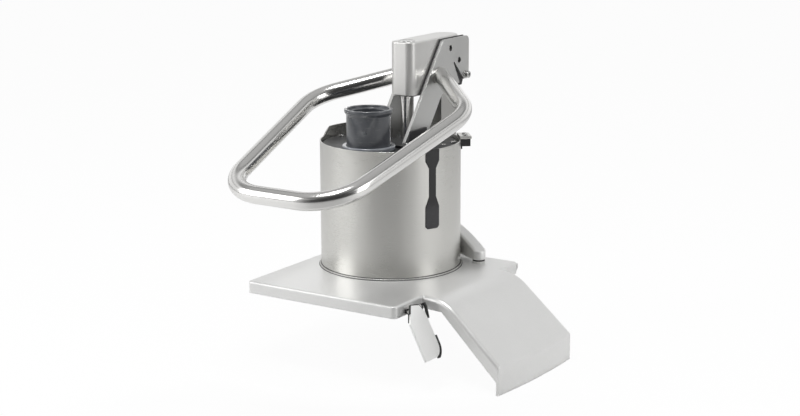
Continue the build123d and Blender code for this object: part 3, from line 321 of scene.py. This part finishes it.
cloud_shift = swing(blasted_grain, cloud, take.outputs["Cloud"])
give_colour(blasted_grain, take, give, (grain_shift, cloud_shift))
cloud_roughness = 0.22
rough_shift = swing(blasted_grain, cloud, cloud_roughness)
rough = sum_node(blasted_grain, "ADD", take.outputs["Roughness"], rough_shift)
blasted_grain.links.new(rough, give.inputs["Roughness"])
skin_relief = 1.6
skin_height = sum_node(blasted_grain, "MULTIPLY", skin, skin_relief)
height = sum_node(blasted_grain, "ADD", grain, skin_height)
blasted_grain.links.new(height, give.inputs["Height"])


def new_finish(name, metallic):
    """A material and its shader, bare but for how metallic it is."""
    finish = bpy.data.materials.new(name)
    finish.use_nodes = True
    shader = finish.node_tree.nodes["Principled BSDF"]
    shader.inputs["Metallic"].default_value = metallic
    return finish, finish.node_tree, shader


def place_group(made, group, **values):
    """A node group in a material, with its own values on the named inputs."""
    node = made.nodes.new("ShaderNodeGroup")
    node.node_tree = group
    for name, value in values.items():
        socket = node.inputs[name.replace("_", " ")]
        if isinstance(value, bpy.types.NodeSocket):
            made.links.new(value, socket)
        else:
            socket.default_value = (*value, 1) if isinstance(value, tuple) else value
    return node


def show_face(made, face, shader, relief=None, edges=None):
    """Sends a face's colour and roughness to the shader, and its height as relief that deep."""
    for name, socket in (("Color", "Base Color"), ("Roughness", "Roughness")):
        made.links.new(face.outputs[name], shader.inputs[socket])
    if relief:
        bump = made.nodes.new("ShaderNodeBump")
        bump.inputs["Distance"].default_value = relief
        made.links.new(face.outputs["Height"], bump.inputs["Height"])
        if edges:
            made.links.new(edges.outputs["Normal"], bump.inputs["Normal"])
        made.links.new(bump.outputs["Normal"], shader.inputs["Normal"])


def cast_finish(name, colour, rub_and_highlight_colour, metallic, roughness, speckle, edge_width):
    """Blasted cast aluminium."""
    finish, made, shader = new_finish(name, metallic)
    edges = place_group(made, edge_rub_and_highlight, Radius=edge_width, Break_Up=0.35)
    grain = place_group(
        made, blasted_grain, Color=colour, Edge_Color=rub_and_highlight_colour, Edge=edges.outputs["Mask"],
        Roughness=roughness, Speckle=speckle,
    )
    show_face(made, grain, shader, relief=0.00006, edges=edges)
    return finish


def dress(finish, *names):
    """Gives this finish to CAD nodes."""
    for name in names:
        for held in nodes[name].material_slots:
            held.material = finish


lid_finish = cast_finish(
    "lid casting", lid_colour, lid_rub_and_highlight_colour, metallic=0.46, roughness=0.35, speckle=0.14,
    edge_width=0.0022,
)
dress(lid_finish, "lid_shell")


# Seal rings. Moulded black rubber, one under the lid's locating ring and one under each foot of
# the mast bridge, with the matt bloom that rubber gets in a kitchen.
rubber, made, shader = new_finish("black rubber", 0.0)
skin = place_group(
    made, blasted_grain, Color=(0.025, 0.025, 0.026), Edge_Color=(0.05, 0.05, 0.05),
    Grain_Size=0.0005, Cloud=0.5, Speckle=0.4, Roughness=0.62,
)
show_face(made, skin, shader, relief=0.00003)
dress(rubber, "lid_seal", "foot_seals")


# Feed hopper. Stainless tube of 1.5 mm wall, its rim cut low at the front right for loading, with
# a rolled ring at its foot. The tube is brushed round, and cleaning has left soft upright clouds.
hopper_colour = (0.60, 0.595, 0.57)

brushed_sheet, take, give = node_group(
    "brushed sheet",
    [
        ("Color", COLOUR, (0.6, 0.6, 0.6, 1)),
        ("Edge Color", COLOUR, (0.8, 0.8, 0.8, 1)),
        ("Edge", FLOAT, 0.0),
        ("Lines", FLOAT, 0.10),
        ("Cloud", FLOAT, 0.08),
        ("Roughness", FLOAT, 0.3),
    ],
    [("Color", COLOUR), ("Roughness", FLOAT), ("Height", FLOAT)],
)
place = brushed_sheet.nodes.new("ShaderNodeTexCoord").outputs["Object"]
lines = noise_node(brushed_sheet, place, scale=60.0, detail=4.0, stretch=(1, 1, 60))
cloud = noise_node(brushed_sheet, place, scale=22.0, detail=2.0, stretch=(1, 1, 0.35))
line_shift = swing(brushed_sheet, lines, take.outputs["Lines"])
cloud_shift = swing(brushed_sheet, cloud, take.outputs["Cloud"])
give_colour(brushed_sheet, take, give, (line_shift, cloud_shift))
line_roughness = 0.6
cloud_roughness = 0.5
line_rough = swing(brushed_sheet, lines, line_roughness)
cloud_rough = swing(brushed_sheet, cloud, cloud_roughness)
rough_shift = sum_node(brushed_sheet, "ADD", line_rough, cloud_rough)
rough_share = sum_node(brushed_sheet, "ADD", 1.0, rough_shift)
rough = sum_node(brushed_sheet, "MULTIPLY", take.outputs["Roughness"], rough_share)
brushed_sheet.links.new(rough, give.inputs["Roughness"])
brushed_sheet.links.new(lines, give.inputs["Height"])


def sheet_finish(name, colour, roughness, lines=0.10, metallic=1.0):
    """Brushed stainless sheet or plate with cut edges."""
    finish, made, shader = new_finish(name, metallic)
    # The light colour on the cut edges is partly rub and partly painted highlight.
    edges = place_group(made, edge_rub_and_highlight, Radius=0.0005, Break_Up=0.25)
    face = place_group(
        made, brushed_sheet, Color=colour, Edge_Color=(0.9, 0.9, 0.88),
        Edge=edges.outputs["Mask"], Roughness=roughness, Lines=lines,
    )
    show_face(made, face, shader, relief=0.00001, edges=edges)
    return finish


hopper_finish = sheet_finish("hopper stainless", hopper_colour, roughness=0.30)
dress(hopper_finish, "hopper_tube", "hopper_collar", "catch_plate")


upright = (0, 0, 1)


def turned(mesh, outline, foot=(0, 0, 0), axis=upright, facets=64):
    """Adds a turned solid. Its outline gives radius, height over the foot, and a shape or none."""
    turn = Vector(upright).rotation_difference(Vector(axis))
    rings = []
    for radius, height, *shape in outline:
        steps = facets if radius else 1
        ring = []
        for index in range(steps):
            angle = 2 * math.pi * index / steps
            out = radius * (shape[0](angle) if shape else 1)
            spot = Vector((out * math.cos(angle), out * math.sin(angle), height))
            ring.append(mesh.verts.new(Vector(foot) + turn @ spot))
        rings.append(ring)
    for low, high in zip(rings, rings[1:]):
        for index in range(facets):
            after = (index + 1) % facets
            corners = [low[index % len(low)], low[after % len(low)]]
            corners += [high[after % len(high)], high[index % len(high)]]
            mesh.faces.new(dict.fromkeys(corners))


def eased(outline, radius, most=0.45):
    """The outline with its corners rounded by that radius, or by that part of a short side."""
    drawn = [Vector(point) for point in outline]
    soft = [tuple(drawn[0])]
    for before, corner, after in zip(drawn, drawn[1:], drawn[2:]):
        back, on = before - corner, after - corner
        cut = min(radius, most * back.length, most * on.length)
        start, end = corner + back.normalized() * cut, corner + on.normalized() * cut
        for share in (0.0, 0.25, 0.5, 0.75, 1.0):
            spot = start * (1 - share) ** 2 + corner * 2 * share * (1 - share) + end * share**2
            soft.append(tuple(spot))
    soft.append(tuple(drawn[-1]))
    return soft


def set_piece(name, mesh, finish, body, sharp=0.6):
    """Closes the mesh as a piece that rides on a CAD body; edges over that turn stay sharp."""
    bmesh.ops.remove_doubles(mesh, verts=mesh.verts[:], dist=1e-7)
    bmesh.ops.recalc_face_normals(mesh, faces=mesh.faces[:])
    for face in mesh.faces:
        face.smooth = True
    for edge in mesh.edges:
        edge.smooth = edge.calc_face_angle(0.0) < sharp
    shape = bpy.data.meshes.new(name)
    mesh.to_mesh(shape)
    mesh.free()
    shape.materials.append(finish)
    piece = bpy.data.objects.new(name, shape)
    bpy.context.scene.collection.objects.link(piece)
    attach(piece, body)
    return piece


def closed_ring(points):
    """An outline that ends where it starts, for a turned ring."""
    return [*points, points[0]]


# The rolled ring at the tube's foot; a black bead under it, a painted contact shadow along the lid
# that the ring sits in; and a thin black ring, a painted shadow where the ring's roll meets the
# tube.
ring_facets = 160
ring = bmesh.new()
roll = [
    (0.0896, 0.0150), (0.0918, 0.0150), (0.0922, 0.0158), (0.0919, 0.0168), (0.0910, 0.0172),
    (0.0896, 0.0170),
]
turned(ring, closed_ring(roll), facets=ring_facets)
ring_finish = sheet_finish("ring steel", (0.50, 0.495, 0.48), roughness=0.48, lines=0.06)
foot_ring = set_piece("foot_ring", ring, ring_finish, "lid")
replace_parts(foot_ring, "hopper_collar")
shadow_bead = bmesh.new()
bead = [
    (0.0916, 0.01502), (0.0929, 0.01502), (0.0926, 0.01545), (0.0920, 0.01560), (0.0916, 0.01545),
]
turned(shadow_bead, closed_ring(bead), facets=ring_facets)
set_piece("foot_shadow_bead", shadow_bead, rubber, "lid")
shadow_line_ring = bmesh.new()
line = [(0.0898, 0.0171), (0.0907, 0.0171), (0.09035, 0.01775), (0.0898, 0.01775)]
turned(shadow_line_ring, closed_ring(line), facets=ring_facets)
set_piece("foot_shadow_line", shadow_line_ring, rubber, "lid")

# The tube's upright weld, ground nearly flush, at the back beside the mast.
seam = bmesh.new()
seam_angle = math.radians(118)
seam_out = 0.0898
seam_outline = [(0.0, 0.0), (0.0006, 0.0001), (0.0007, 0.0010), (0.0007, 0.1580), (0.0, 0.1582)]
seam_foot = (seam_out * math.cos(seam_angle), seam_out * math.sin(seam_angle), 0.0176)
turned(seam, seam_outline, seam_foot, facets=12)
set_piece("hopper_seam", seam, hopper_finish, "lid")


# Black plastic parts: the insert in the hopper wall, the catch block, the liners beside the head,
# the angle brackets and the latch's backing. All are moulded, and only slightly glossy.
moulded_skin, take, give = node_group(
    "moulded skin",
    [
        ("Color", COLOUR, (0.1, 0.1, 0.1, 1)),
        ("Scuff Color", COLOUR, (0.2, 0.2, 0.2, 1)),
        ("Edge", FLOAT, 0.0),
        ("Roughness", FLOAT, 0.38),
    ],
    [("Color", COLOUR), ("Roughness", FLOAT), ("Height", FLOAT)],
)
place = moulded_skin.nodes.new("ShaderNodeTexCoord").outputs["Object"]
grain = noise_node(moulded_skin, place, scale=1600.0, detail=2.0)
cloud = noise_node(moulded_skin, place, scale=30.0, detail=4.0)
scuffs = noise_node(moulded_skin, place, scale=90.0, detail=6.0, stretch=(1, 1, 5))
scuff_start = 0.58
scuff_strength = 2.5
scuff_high = sum_node(moulded_skin, "SUBTRACT", scuffs, scuff_start)
scuff_mask = sum_node(moulded_skin, "MULTIPLY", scuff_high, scuff_strength)
scuff_mask.node.use_clamp = True
# Edges take the scuff colour through the edge mask: partly scuffing, partly painted highlight.
edge_scuff_and_highlight = 0.8
edge_part = sum_node(moulded_skin, "MULTIPLY", take.outputs["Edge"], edge_scuff_and_highlight)
marks = sum_node(moulded_skin, "MAXIMUM", scuff_mask, edge_part)
coloured = mixed(moulded_skin, marks, take.outputs["Color"], take.outputs["Scuff Color"])
moulded_skin.links.new(coloured, give.inputs["Color"])
cloud_roughness = 0.25
cloud_rough = swing(moulded_skin, cloud, cloud_roughness)
rough = sum_node(moulded_skin, "ADD", take.outputs["Roughness"], cloud_rough)
moulded_skin.links.new(rough, give.inputs["Roughness"])
moulded_skin.links.new(grain, give.inputs["Height"])


def plastic_finish(name, colour, scuff_colour, roughness, gloss=0.0):
    """Moulded plastic, with a glossy skin where the mould was polished."""
    finish, made, shader = new_finish(name, 0.0)
    shader.inputs["Coat Weight"].default_value = gloss
    shader.inputs["Coat Roughness"].default_value = 0.10
    edges = place_group(made, edge_rub_and_highlight, Radius=0.0008, Break_Up=0.5)
    skin = place_group(
        made, moulded_skin, Color=colour, Scuff_Color=scuff_colour, Edge=edges.outputs["Mask"],
        Roughness=roughness,
    )
    show_face(made, skin, shader, relief=0.00002, edges=edges)
    return finish


black_finish = plastic_finish(
    "black plastic", (0.020, 0.020, 0.021), (0.060, 0.060, 0.060), roughness=0.42
)
dress(
    black_finish, "catch_block", "side_liner_left", "side_liner_right", "leg_bracket_left",
    "leg_bracket_right", "latch_grip", "latch_bracket", "latch_cap",
)

# The insert's upper part is darker.
insert_finish = plastic_finish(
    "insert plastic", (0.030, 0.030, 0.033), (0.065, 0.065, 0.065), roughness=0.50
)
darker_from = 0.098
darker_to = 0.116
upper_colour = (0.010, 0.010, 0.011, 1)
made = insert_finish.node_tree
shader = made.nodes["Principled BSDF"]
along = made.nodes.new("ShaderNodeSeparateXYZ")
made.links.new(made.nodes.new("ShaderNodeTexCoord").outputs["Object"], along.inputs["Vector"])
rise = made.nodes.new("ShaderNodeMapRange")
rise.interpolation_type = "SMOOTHSTEP"
rise.inputs["From Min"].default_value = darker_from
rise.inputs["From Max"].default_value = darker_to
made.links.new(along.outputs["Z"], rise.inputs["Value"])
plain_colour = shader.inputs["Base Color"].links[0].from_socket
darkened = mixed(made, rise.outputs["Result"], plain_colour, upper_colour)
made.links.new(darkened, shader.inputs["Base Color"])
dress(insert_finish, "wall_insert")


# Mast bridge, carriage head and mast. Bridge and head are blasted castings like the lid, the head
# with a darker, more metallic skin. The mast is a box section of satin stainless, clamped in the
# bridge; its bush, plug and slider and the washers under the feet are white plastic.
head_finish = cast_finish(
    "head casting", (0.67, 0.665, 0.65), lid_rub_and_highlight_colour, metallic=0.80, roughness=0.34,
    speckle=0.16, edge_width=0.0014,
)
dress(head_finish, "head_casting")
bridge_finish = cast_finish(
    "bridge casting", (0.86, 0.86, 0.85), lid_rub_and_highlight_colour, metallic=0.45, roughness=0.40,
    speckle=0.14, edge_width=0.0018,
)
dress(bridge_finish, "mast_bridge")
mast_finish = sheet_finish("mast stainless", (0.42, 0.415, 0.40), roughness=0.34)
dress(mast_finish, "mast_tube", "inner_post")
white_plastic = plastic_finish(
    "white plastic", (0.72, 0.72, 0.70), (0.50, 0.50, 0.48), roughness=0.40
)
dress(white_plastic, "foot_washers", "mast_top_bush", "mast_foot_plug", "post_slider")


# Latch on the right skirt: a flat steel lever with its rolled barrel, on a pin between two cheeks.
# The lever is pressed from stainless sheet, blasted light, and backed with black plastic.
latch_finish = sheet_finish(
    "latch steel", (0.92, 0.92, 0.91), roughness=0.46, lines=0.06, metallic=0.35
)
dress(latch_finish, "latch_lever")


# Side plates of the carriage, cut from stainless plate and left with a flat grey finish. They are
# screwed to the head from both sides and carry the handle.
plate_finish = sheet_finish("side plate steel", (0.55, 0.55, 0.54), roughness=0.40, lines=0.08)
dress(plate_finish, "side_plate_left", "side_plate_right")


# Guide rod and latch pin, ground and polished to a mirror, with the faint wipe marks of use. The
# handle in the next section has the same finish.
polished, made, shader = new_finish("polished stainless", 1.0)
face = place_group(
    made, brushed_sheet, Color=(0.74, 0.735, 0.72), Edge_Color=(0.9, 0.9, 0.9), Roughness=0.18,
    Lines=0.02, Cloud=0.04,
)
show_face(made, face, shader)
dress(polished, "guide_rod", "latch_pin")


# Handle. One bent tube from plate to plate: its ends are closed round, lie on the plates and are
# welded there with a small bead, and the whole is polished after welding.
tube_radius = 0.01096
tube_bend = 0.060
tube_step = 0.012
bend_steps = 18
end_steps = 12
end_turn = math.pi / 2 / 1.05
tube_tilt = math.radians(18.05)
tube_front = Vector((0, -0.240, 0.146018))
tube_corners = ((0.0, 0.0), (0.0817, 0.0), (0.1165, 0.24822), (0.0270, 0.33790))
plate_face = 0.0235
weld_out = 0.0003
weld_lift = 0.0002
weld_radius = 0.0007
weld_spread = 0.0002


def swept(mesh, path, radius, facets=32, closed=False):
    """Adds a round bar along a path, with its own radius at each point."""
    count = len(path)
    side = None
    rings = []
    for index, spot in enumerate(path):
        after = path[(index + 1) % count] if closed or index + 1 < count else spot
        before = path[index - 1] if closed or index else spot
        along = (after - before).normalized()
        side = along.orthogonal() if side is None else side - along * side.dot(along)
        side.normalize()
        across = along.cross(side)
        ring = []
        for step in range(facets):
            angle = 2 * math.pi * step / facets
            out = side * math.cos(angle) + across * math.sin(angle)
            ring.append(mesh.verts.new(spot + out * radius[index]))
        rings.append(ring)
    pairs = list(zip(rings, rings[1:]))
    if closed:
        pairs.append((rings[-1], rings[0]))
    else:
        mesh.faces.new(rings[0])
        mesh.faces.new(rings[-1])
    for low, high in pairs:
        for step in range(facets):
            after = (step + 1) % facets
            mesh.faces.new((low[step], low[after], high[after], high[step]))


def tube_path():
    """Middle line of one half of the handle, with its bends and its round end, and the radii."""
    slope = Vector((0, math.cos(tube_tilt), math.sin(tube_tilt)))
    drawn = [tube_front + Vector((x, 0, 0)) + slope * run for x, run in tube_corners]
    path = [drawn[0]]
    for before, corner, after in zip(drawn, drawn[1:], drawn[2:]):
        back, on = (before - corner).normalized(), (after - corner).normalized()
        half = back.angle(on) / 2
        middle = corner + (back + on).normalized() * tube_bend / math.sin(half)
        start = corner + back * tube_bend / math.tan(half) - middle
        end = corner + on * tube_bend / math.tan(half) - middle
        for step in range(bend_steps + 1):
            out = start.slerp(end, step / bend_steps).normalized()
            path.append(middle + out * tube_bend)
    fine = [path[0]]
    for spot in [*path[1:], drawn[-1]]:
        start, run = fine[-1], spot - fine[-1]
        pieces = max(1, round(run.length / tube_step))
        fine += [start + run * (piece + 1) / pieces for piece in range(pieces)]
    path, radius = fine, [tube_radius] * len(fine)
    along = (drawn[-1] - drawn[-2]).normalized()
    for step in range(1, end_steps + 1):
        turn = end_turn * step / end_steps
        path.append(drawn[-1] + along * tube_radius * math.sin(turn))
        radius.append(tube_radius * math.cos(turn))
    return path, radius


handle = bmesh.new()
swept(handle, *tube_path(), facets=64)
end_part = [face for face in handle.faces if all(corner.co.y > 0 for corner in face.verts)]
end_edges = list({edge for face in end_part for edge in face.edges})
end_corners = list({corner for face in end_part for corner in face.verts})
cut = bmesh.ops.bisect_plane(
    handle, geom=end_corners + end_edges + end_part, plane_co=(plate_face, 0, 0),
    plane_no=(1, 0, 0), clear_inner=True,
)["geom_cut"]
rim = [part for part in cut if isinstance(part, bmesh.types.BMVert)]
rim_edges = [part for part in cut if isinstance(part, bmesh.types.BMEdge)]
middle = sum((corner.co for corner in rim), Vector()) / len(rim)
rim.sort(key=lambda corner: math.atan2(corner.co.z - middle.z, corner.co.y - middle.y))
weld_line = [corner.co + (corner.co - middle).normalized() * weld_out for corner in rim]
bmesh.ops.edgeloop_fill(handle, edges=rim_edges)
start_face = min(handle.faces, key=lambda face: abs(face.calc_center_median().x))
bmesh.ops.delete(handle, geom=[start_face], context="FACES_ONLY")
one_half = handle.verts[:] + handle.edges[:] + handle.faces[:]
for part in bmesh.ops.duplicate(handle, geom=one_half)["geom"]:
    if isinstance(part, bmesh.types.BMVert):
        part.co.x = -part.co.x
handle_piece = set_piece("handle_tube", handle, polished, "carriage")
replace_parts(handle_piece, "handle_loop")

random.seed(7)
beads = bmesh.new()
for side in (1, -1):
    line = [Vector((side * (spot.x + weld_lift), spot.y, spot.z)) for spot in weld_line]
    sizes = [weld_radius + weld_spread * random.random() for spot in line]
    swept(beads, line, sizes, facets=8, closed=True)
bead_finish = sheet_finish("weld bead", (0.50, 0.49, 0.47), roughness=0.34, lines=0.04)
set_piece("handle_welds", beads, bead_finish, "carriage", sharp=3.2)


# Screws of the carriage, the catch and the mast, and the cap of the guide rod. Turned stainless,
# each screw with a hexagon or a cross pressed into its head; the plate screws are near black, a
# painted shade of the holes they sit in.
screw_finish = sheet_finish("screw steel", (0.58, 0.58, 0.57), roughness=0.26, lines=0.04)
dress(screw_finish, "bridge_bolts", "tab_washers", "pusher_magnet")
shade_dark_screw_finish = sheet_finish(
    "screw steel painted shade", (0.06, 0.06, 0.06), roughness=0.40, lines=0.04
)
plate_middle = 0.014
cover_face = 0.1695
head_round = 0.35
recess_mouth = 0.9
recess_foot = 0.92
recess_depth = 0.6
arm_half = 0.26
arm_turn = 0.6
cross_root = 0.42


def hexagon(angle):
    """How far a hexagon's side lies from its middle at that angle, flat to middle being 1."""
    return 1 / math.cos((angle + math.pi / 6) % (math.pi / 3) - math.pi / 6)


def cross(angle):
    """The same for a cross recess with narrow arms."""
    off = abs((angle + math.pi / 4) % (math.pi / 2) - math.pi / 4)
    return min(1.0, arm_half / max(math.sin(off), 0.01)) if off < arm_turn else cross_root


def screw(mesh, foot, axis, recess_shape, shank, length, head, head_height, recess):
    """Adds a screw from the end of its shank, with a rounded head and a recess."""
    top = length + head_height
    deep = top - recess_depth * head_height
    skin = eased(
        [(head, length), (head, top), (recess_mouth * recess, top)], head_round * head_height
    )
    outline = [(0.0, 0.0), (shank, 0.0), (shank, length), *skin[:-1]]
    outline += [
        (recess, top, recess_shape), (recess_foot * recess, deep, recess_shape), (0.0, deep),
    ]
    turned(mesh, outline, foot, axis, facets=48)


def screw_piece(node, spots, axis, recess_shape, body="carriage", finish=screw_finish, **sizes):
    """The screws of one CAD node, as one piece. With no axis they point away from the middle."""
    mesh = bmesh.new()
    for spot in spots:
        way = (math.copysign(1, spot[0]), 0, 0) if axis is None else axis
        screw(mesh, spot, way, recess_shape, **sizes)
    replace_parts(set_piece(node + "_turned", mesh, finish, body), node)


plate_heights = ((0.1321, 0.2657), (0.1098, 0.2834))
plate_spots = [(side * plate_middle, y, z) for side in (1, -1) for y, z in plate_heights]
screw_piece(
    "plate_screws", plate_spots, None, hexagon, finish=shade_dark_screw_finish,
    shank=0.0025, length=0.0055, head=0.0034, head_height=0.0012, recess=0.0017,
)
tab_spots = [(side * plate_middle, 0.1493, 0.2443) for side in (1, -1)]
screw_piece(
    "tab_screws", tab_spots, None, hexagon,
    shank=0.0025, length=0.0105, head=0.0047, head_height=0.0045, recess=0.0020,
)
cover_places = (
    (0.06747, 0.04298), (-0.02003, 0.07745), (-0.07985, 0.00488), (-0.02932, -0.07443),
    (0.06173, -0.05089),
)
cover_spots = [(x, y, cover_face) for x, y in cover_places]
screw_piece(
    "cover_screws", cover_spots, upright, cross,
    shank=0.0015, length=0.0030, head=0.0036, head_height=0.0022, recess=0.0021,
)
bracket_spots = [(x, y, cover_face) for x in (-0.0343, 0.0343) for y in (-0.01402, 0.0319)]
screw_piece(
    "bracket_screws", bracket_spots, upright, cross,
    shank=0.0015, length=0.0060, head=0.0036, head_height=0.0022, recess=0.0021,
)
catch_spots = [(0.07778, 0.05743, 0.170), (0.07007, 0.06663, 0.170)]
screw_piece(
    "catch_screws", catch_spots, upright, cross, body="lid",
    shank=0.0015, length=0.0110, head=0.0030, head_height=0.0015, recess=0.0018,
)
mast_spots = [(0, 0.134, 0.0525), (0, 0.134, 0.0265)]
screw_piece(
    "mast_screws", mast_spots, (0, 1, 0), hexagon, body="lid",
    shank=0.0030, length=0.0070, head=0.0050, head_height=0.0042, recess=0.0028,
)

# The round cap that closes the rod's hole in the head, turned with a shallow dish.
cap = bmesh.new()
cap_outline = [
    (0.0, 0.295), (0.0110, 0.295), (0.0110, 0.2996), (0.0098, 0.2996), (0.0094, 0.2993),
    (0.0, 0.2993),
]
turned(cap, eased(cap_outline, 0.0003), foot=(0, 0.040, 0))
rod_cap = set_piece("rod_cap_turned", cap, screw_finish, "carriage")
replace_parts(rod_cap, "rod_cap")


# Pusher drum, its cover, the feed tube with its collar, and the plunger in it. All are food
# plastic: drum and cover black, the rest blue-grey, moulded with a glossy skin.
pusher_finish = plastic_finish(
    "grey plastic", (0.060, 0.065, 0.075), (0.13, 0.14, 0.15), roughness=0.30, gloss=0.6
)
dress(pusher_finish, "feed_tube")
# The cover and drum are near black: partly their own black plastic, partly a painted shade of the
# hopper's inside.
shaded_cover_finish = plastic_finish(
    "cover plastic painted shade", (0.024, 0.025, 0.027), (0.07, 0.07, 0.07), roughness=0.36
)
dress(shaded_cover_finish, "pusher_cover", "pusher_body")
collar_finish = plastic_finish(
    "collar plastic", (0.22, 0.235, 0.26), (0.40, 0.42, 0.44), roughness=0.22, gloss=0.8
)
feed_foot = (0, -0.0495, 0)
feed_facets = 96

collar = bmesh.new()
collar_outline = [
    (0.0283, 0.1755), (0.0283, 0.1725), (0.0335, 0.1725), (0.0335, 0.1785), (0.0283, 0.1785),
    (0.0283, 0.1755),
]
turned(collar, closed_ring(eased(collar_outline, 0.0018)), feed_foot, facets=feed_facets)
feed_collar = set_piece("feed_collar_turned", collar, collar_finish, "carriage")
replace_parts(feed_collar, "feed_collar")

plunger_body = bmesh.new()
plunger_outline = [
    (0.0, 0.0223), (0.02795, 0.0223), (0.02795, 0.2166), (0.0304, 0.2201), (0.0304, 0.2241),
    (0.02595, 0.2241), (0.02595, 0.2211), (0.01995, 0.2211), (0.01995, 0.0303), (0.0, 0.0303),
]
turned(plunger_body, eased(plunger_outline, 0.0011), feed_foot, facets=feed_facets)
plunger = set_piece("plunger_turned", plunger_body, pusher_finish, "plunger")
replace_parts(plunger, "plunger")
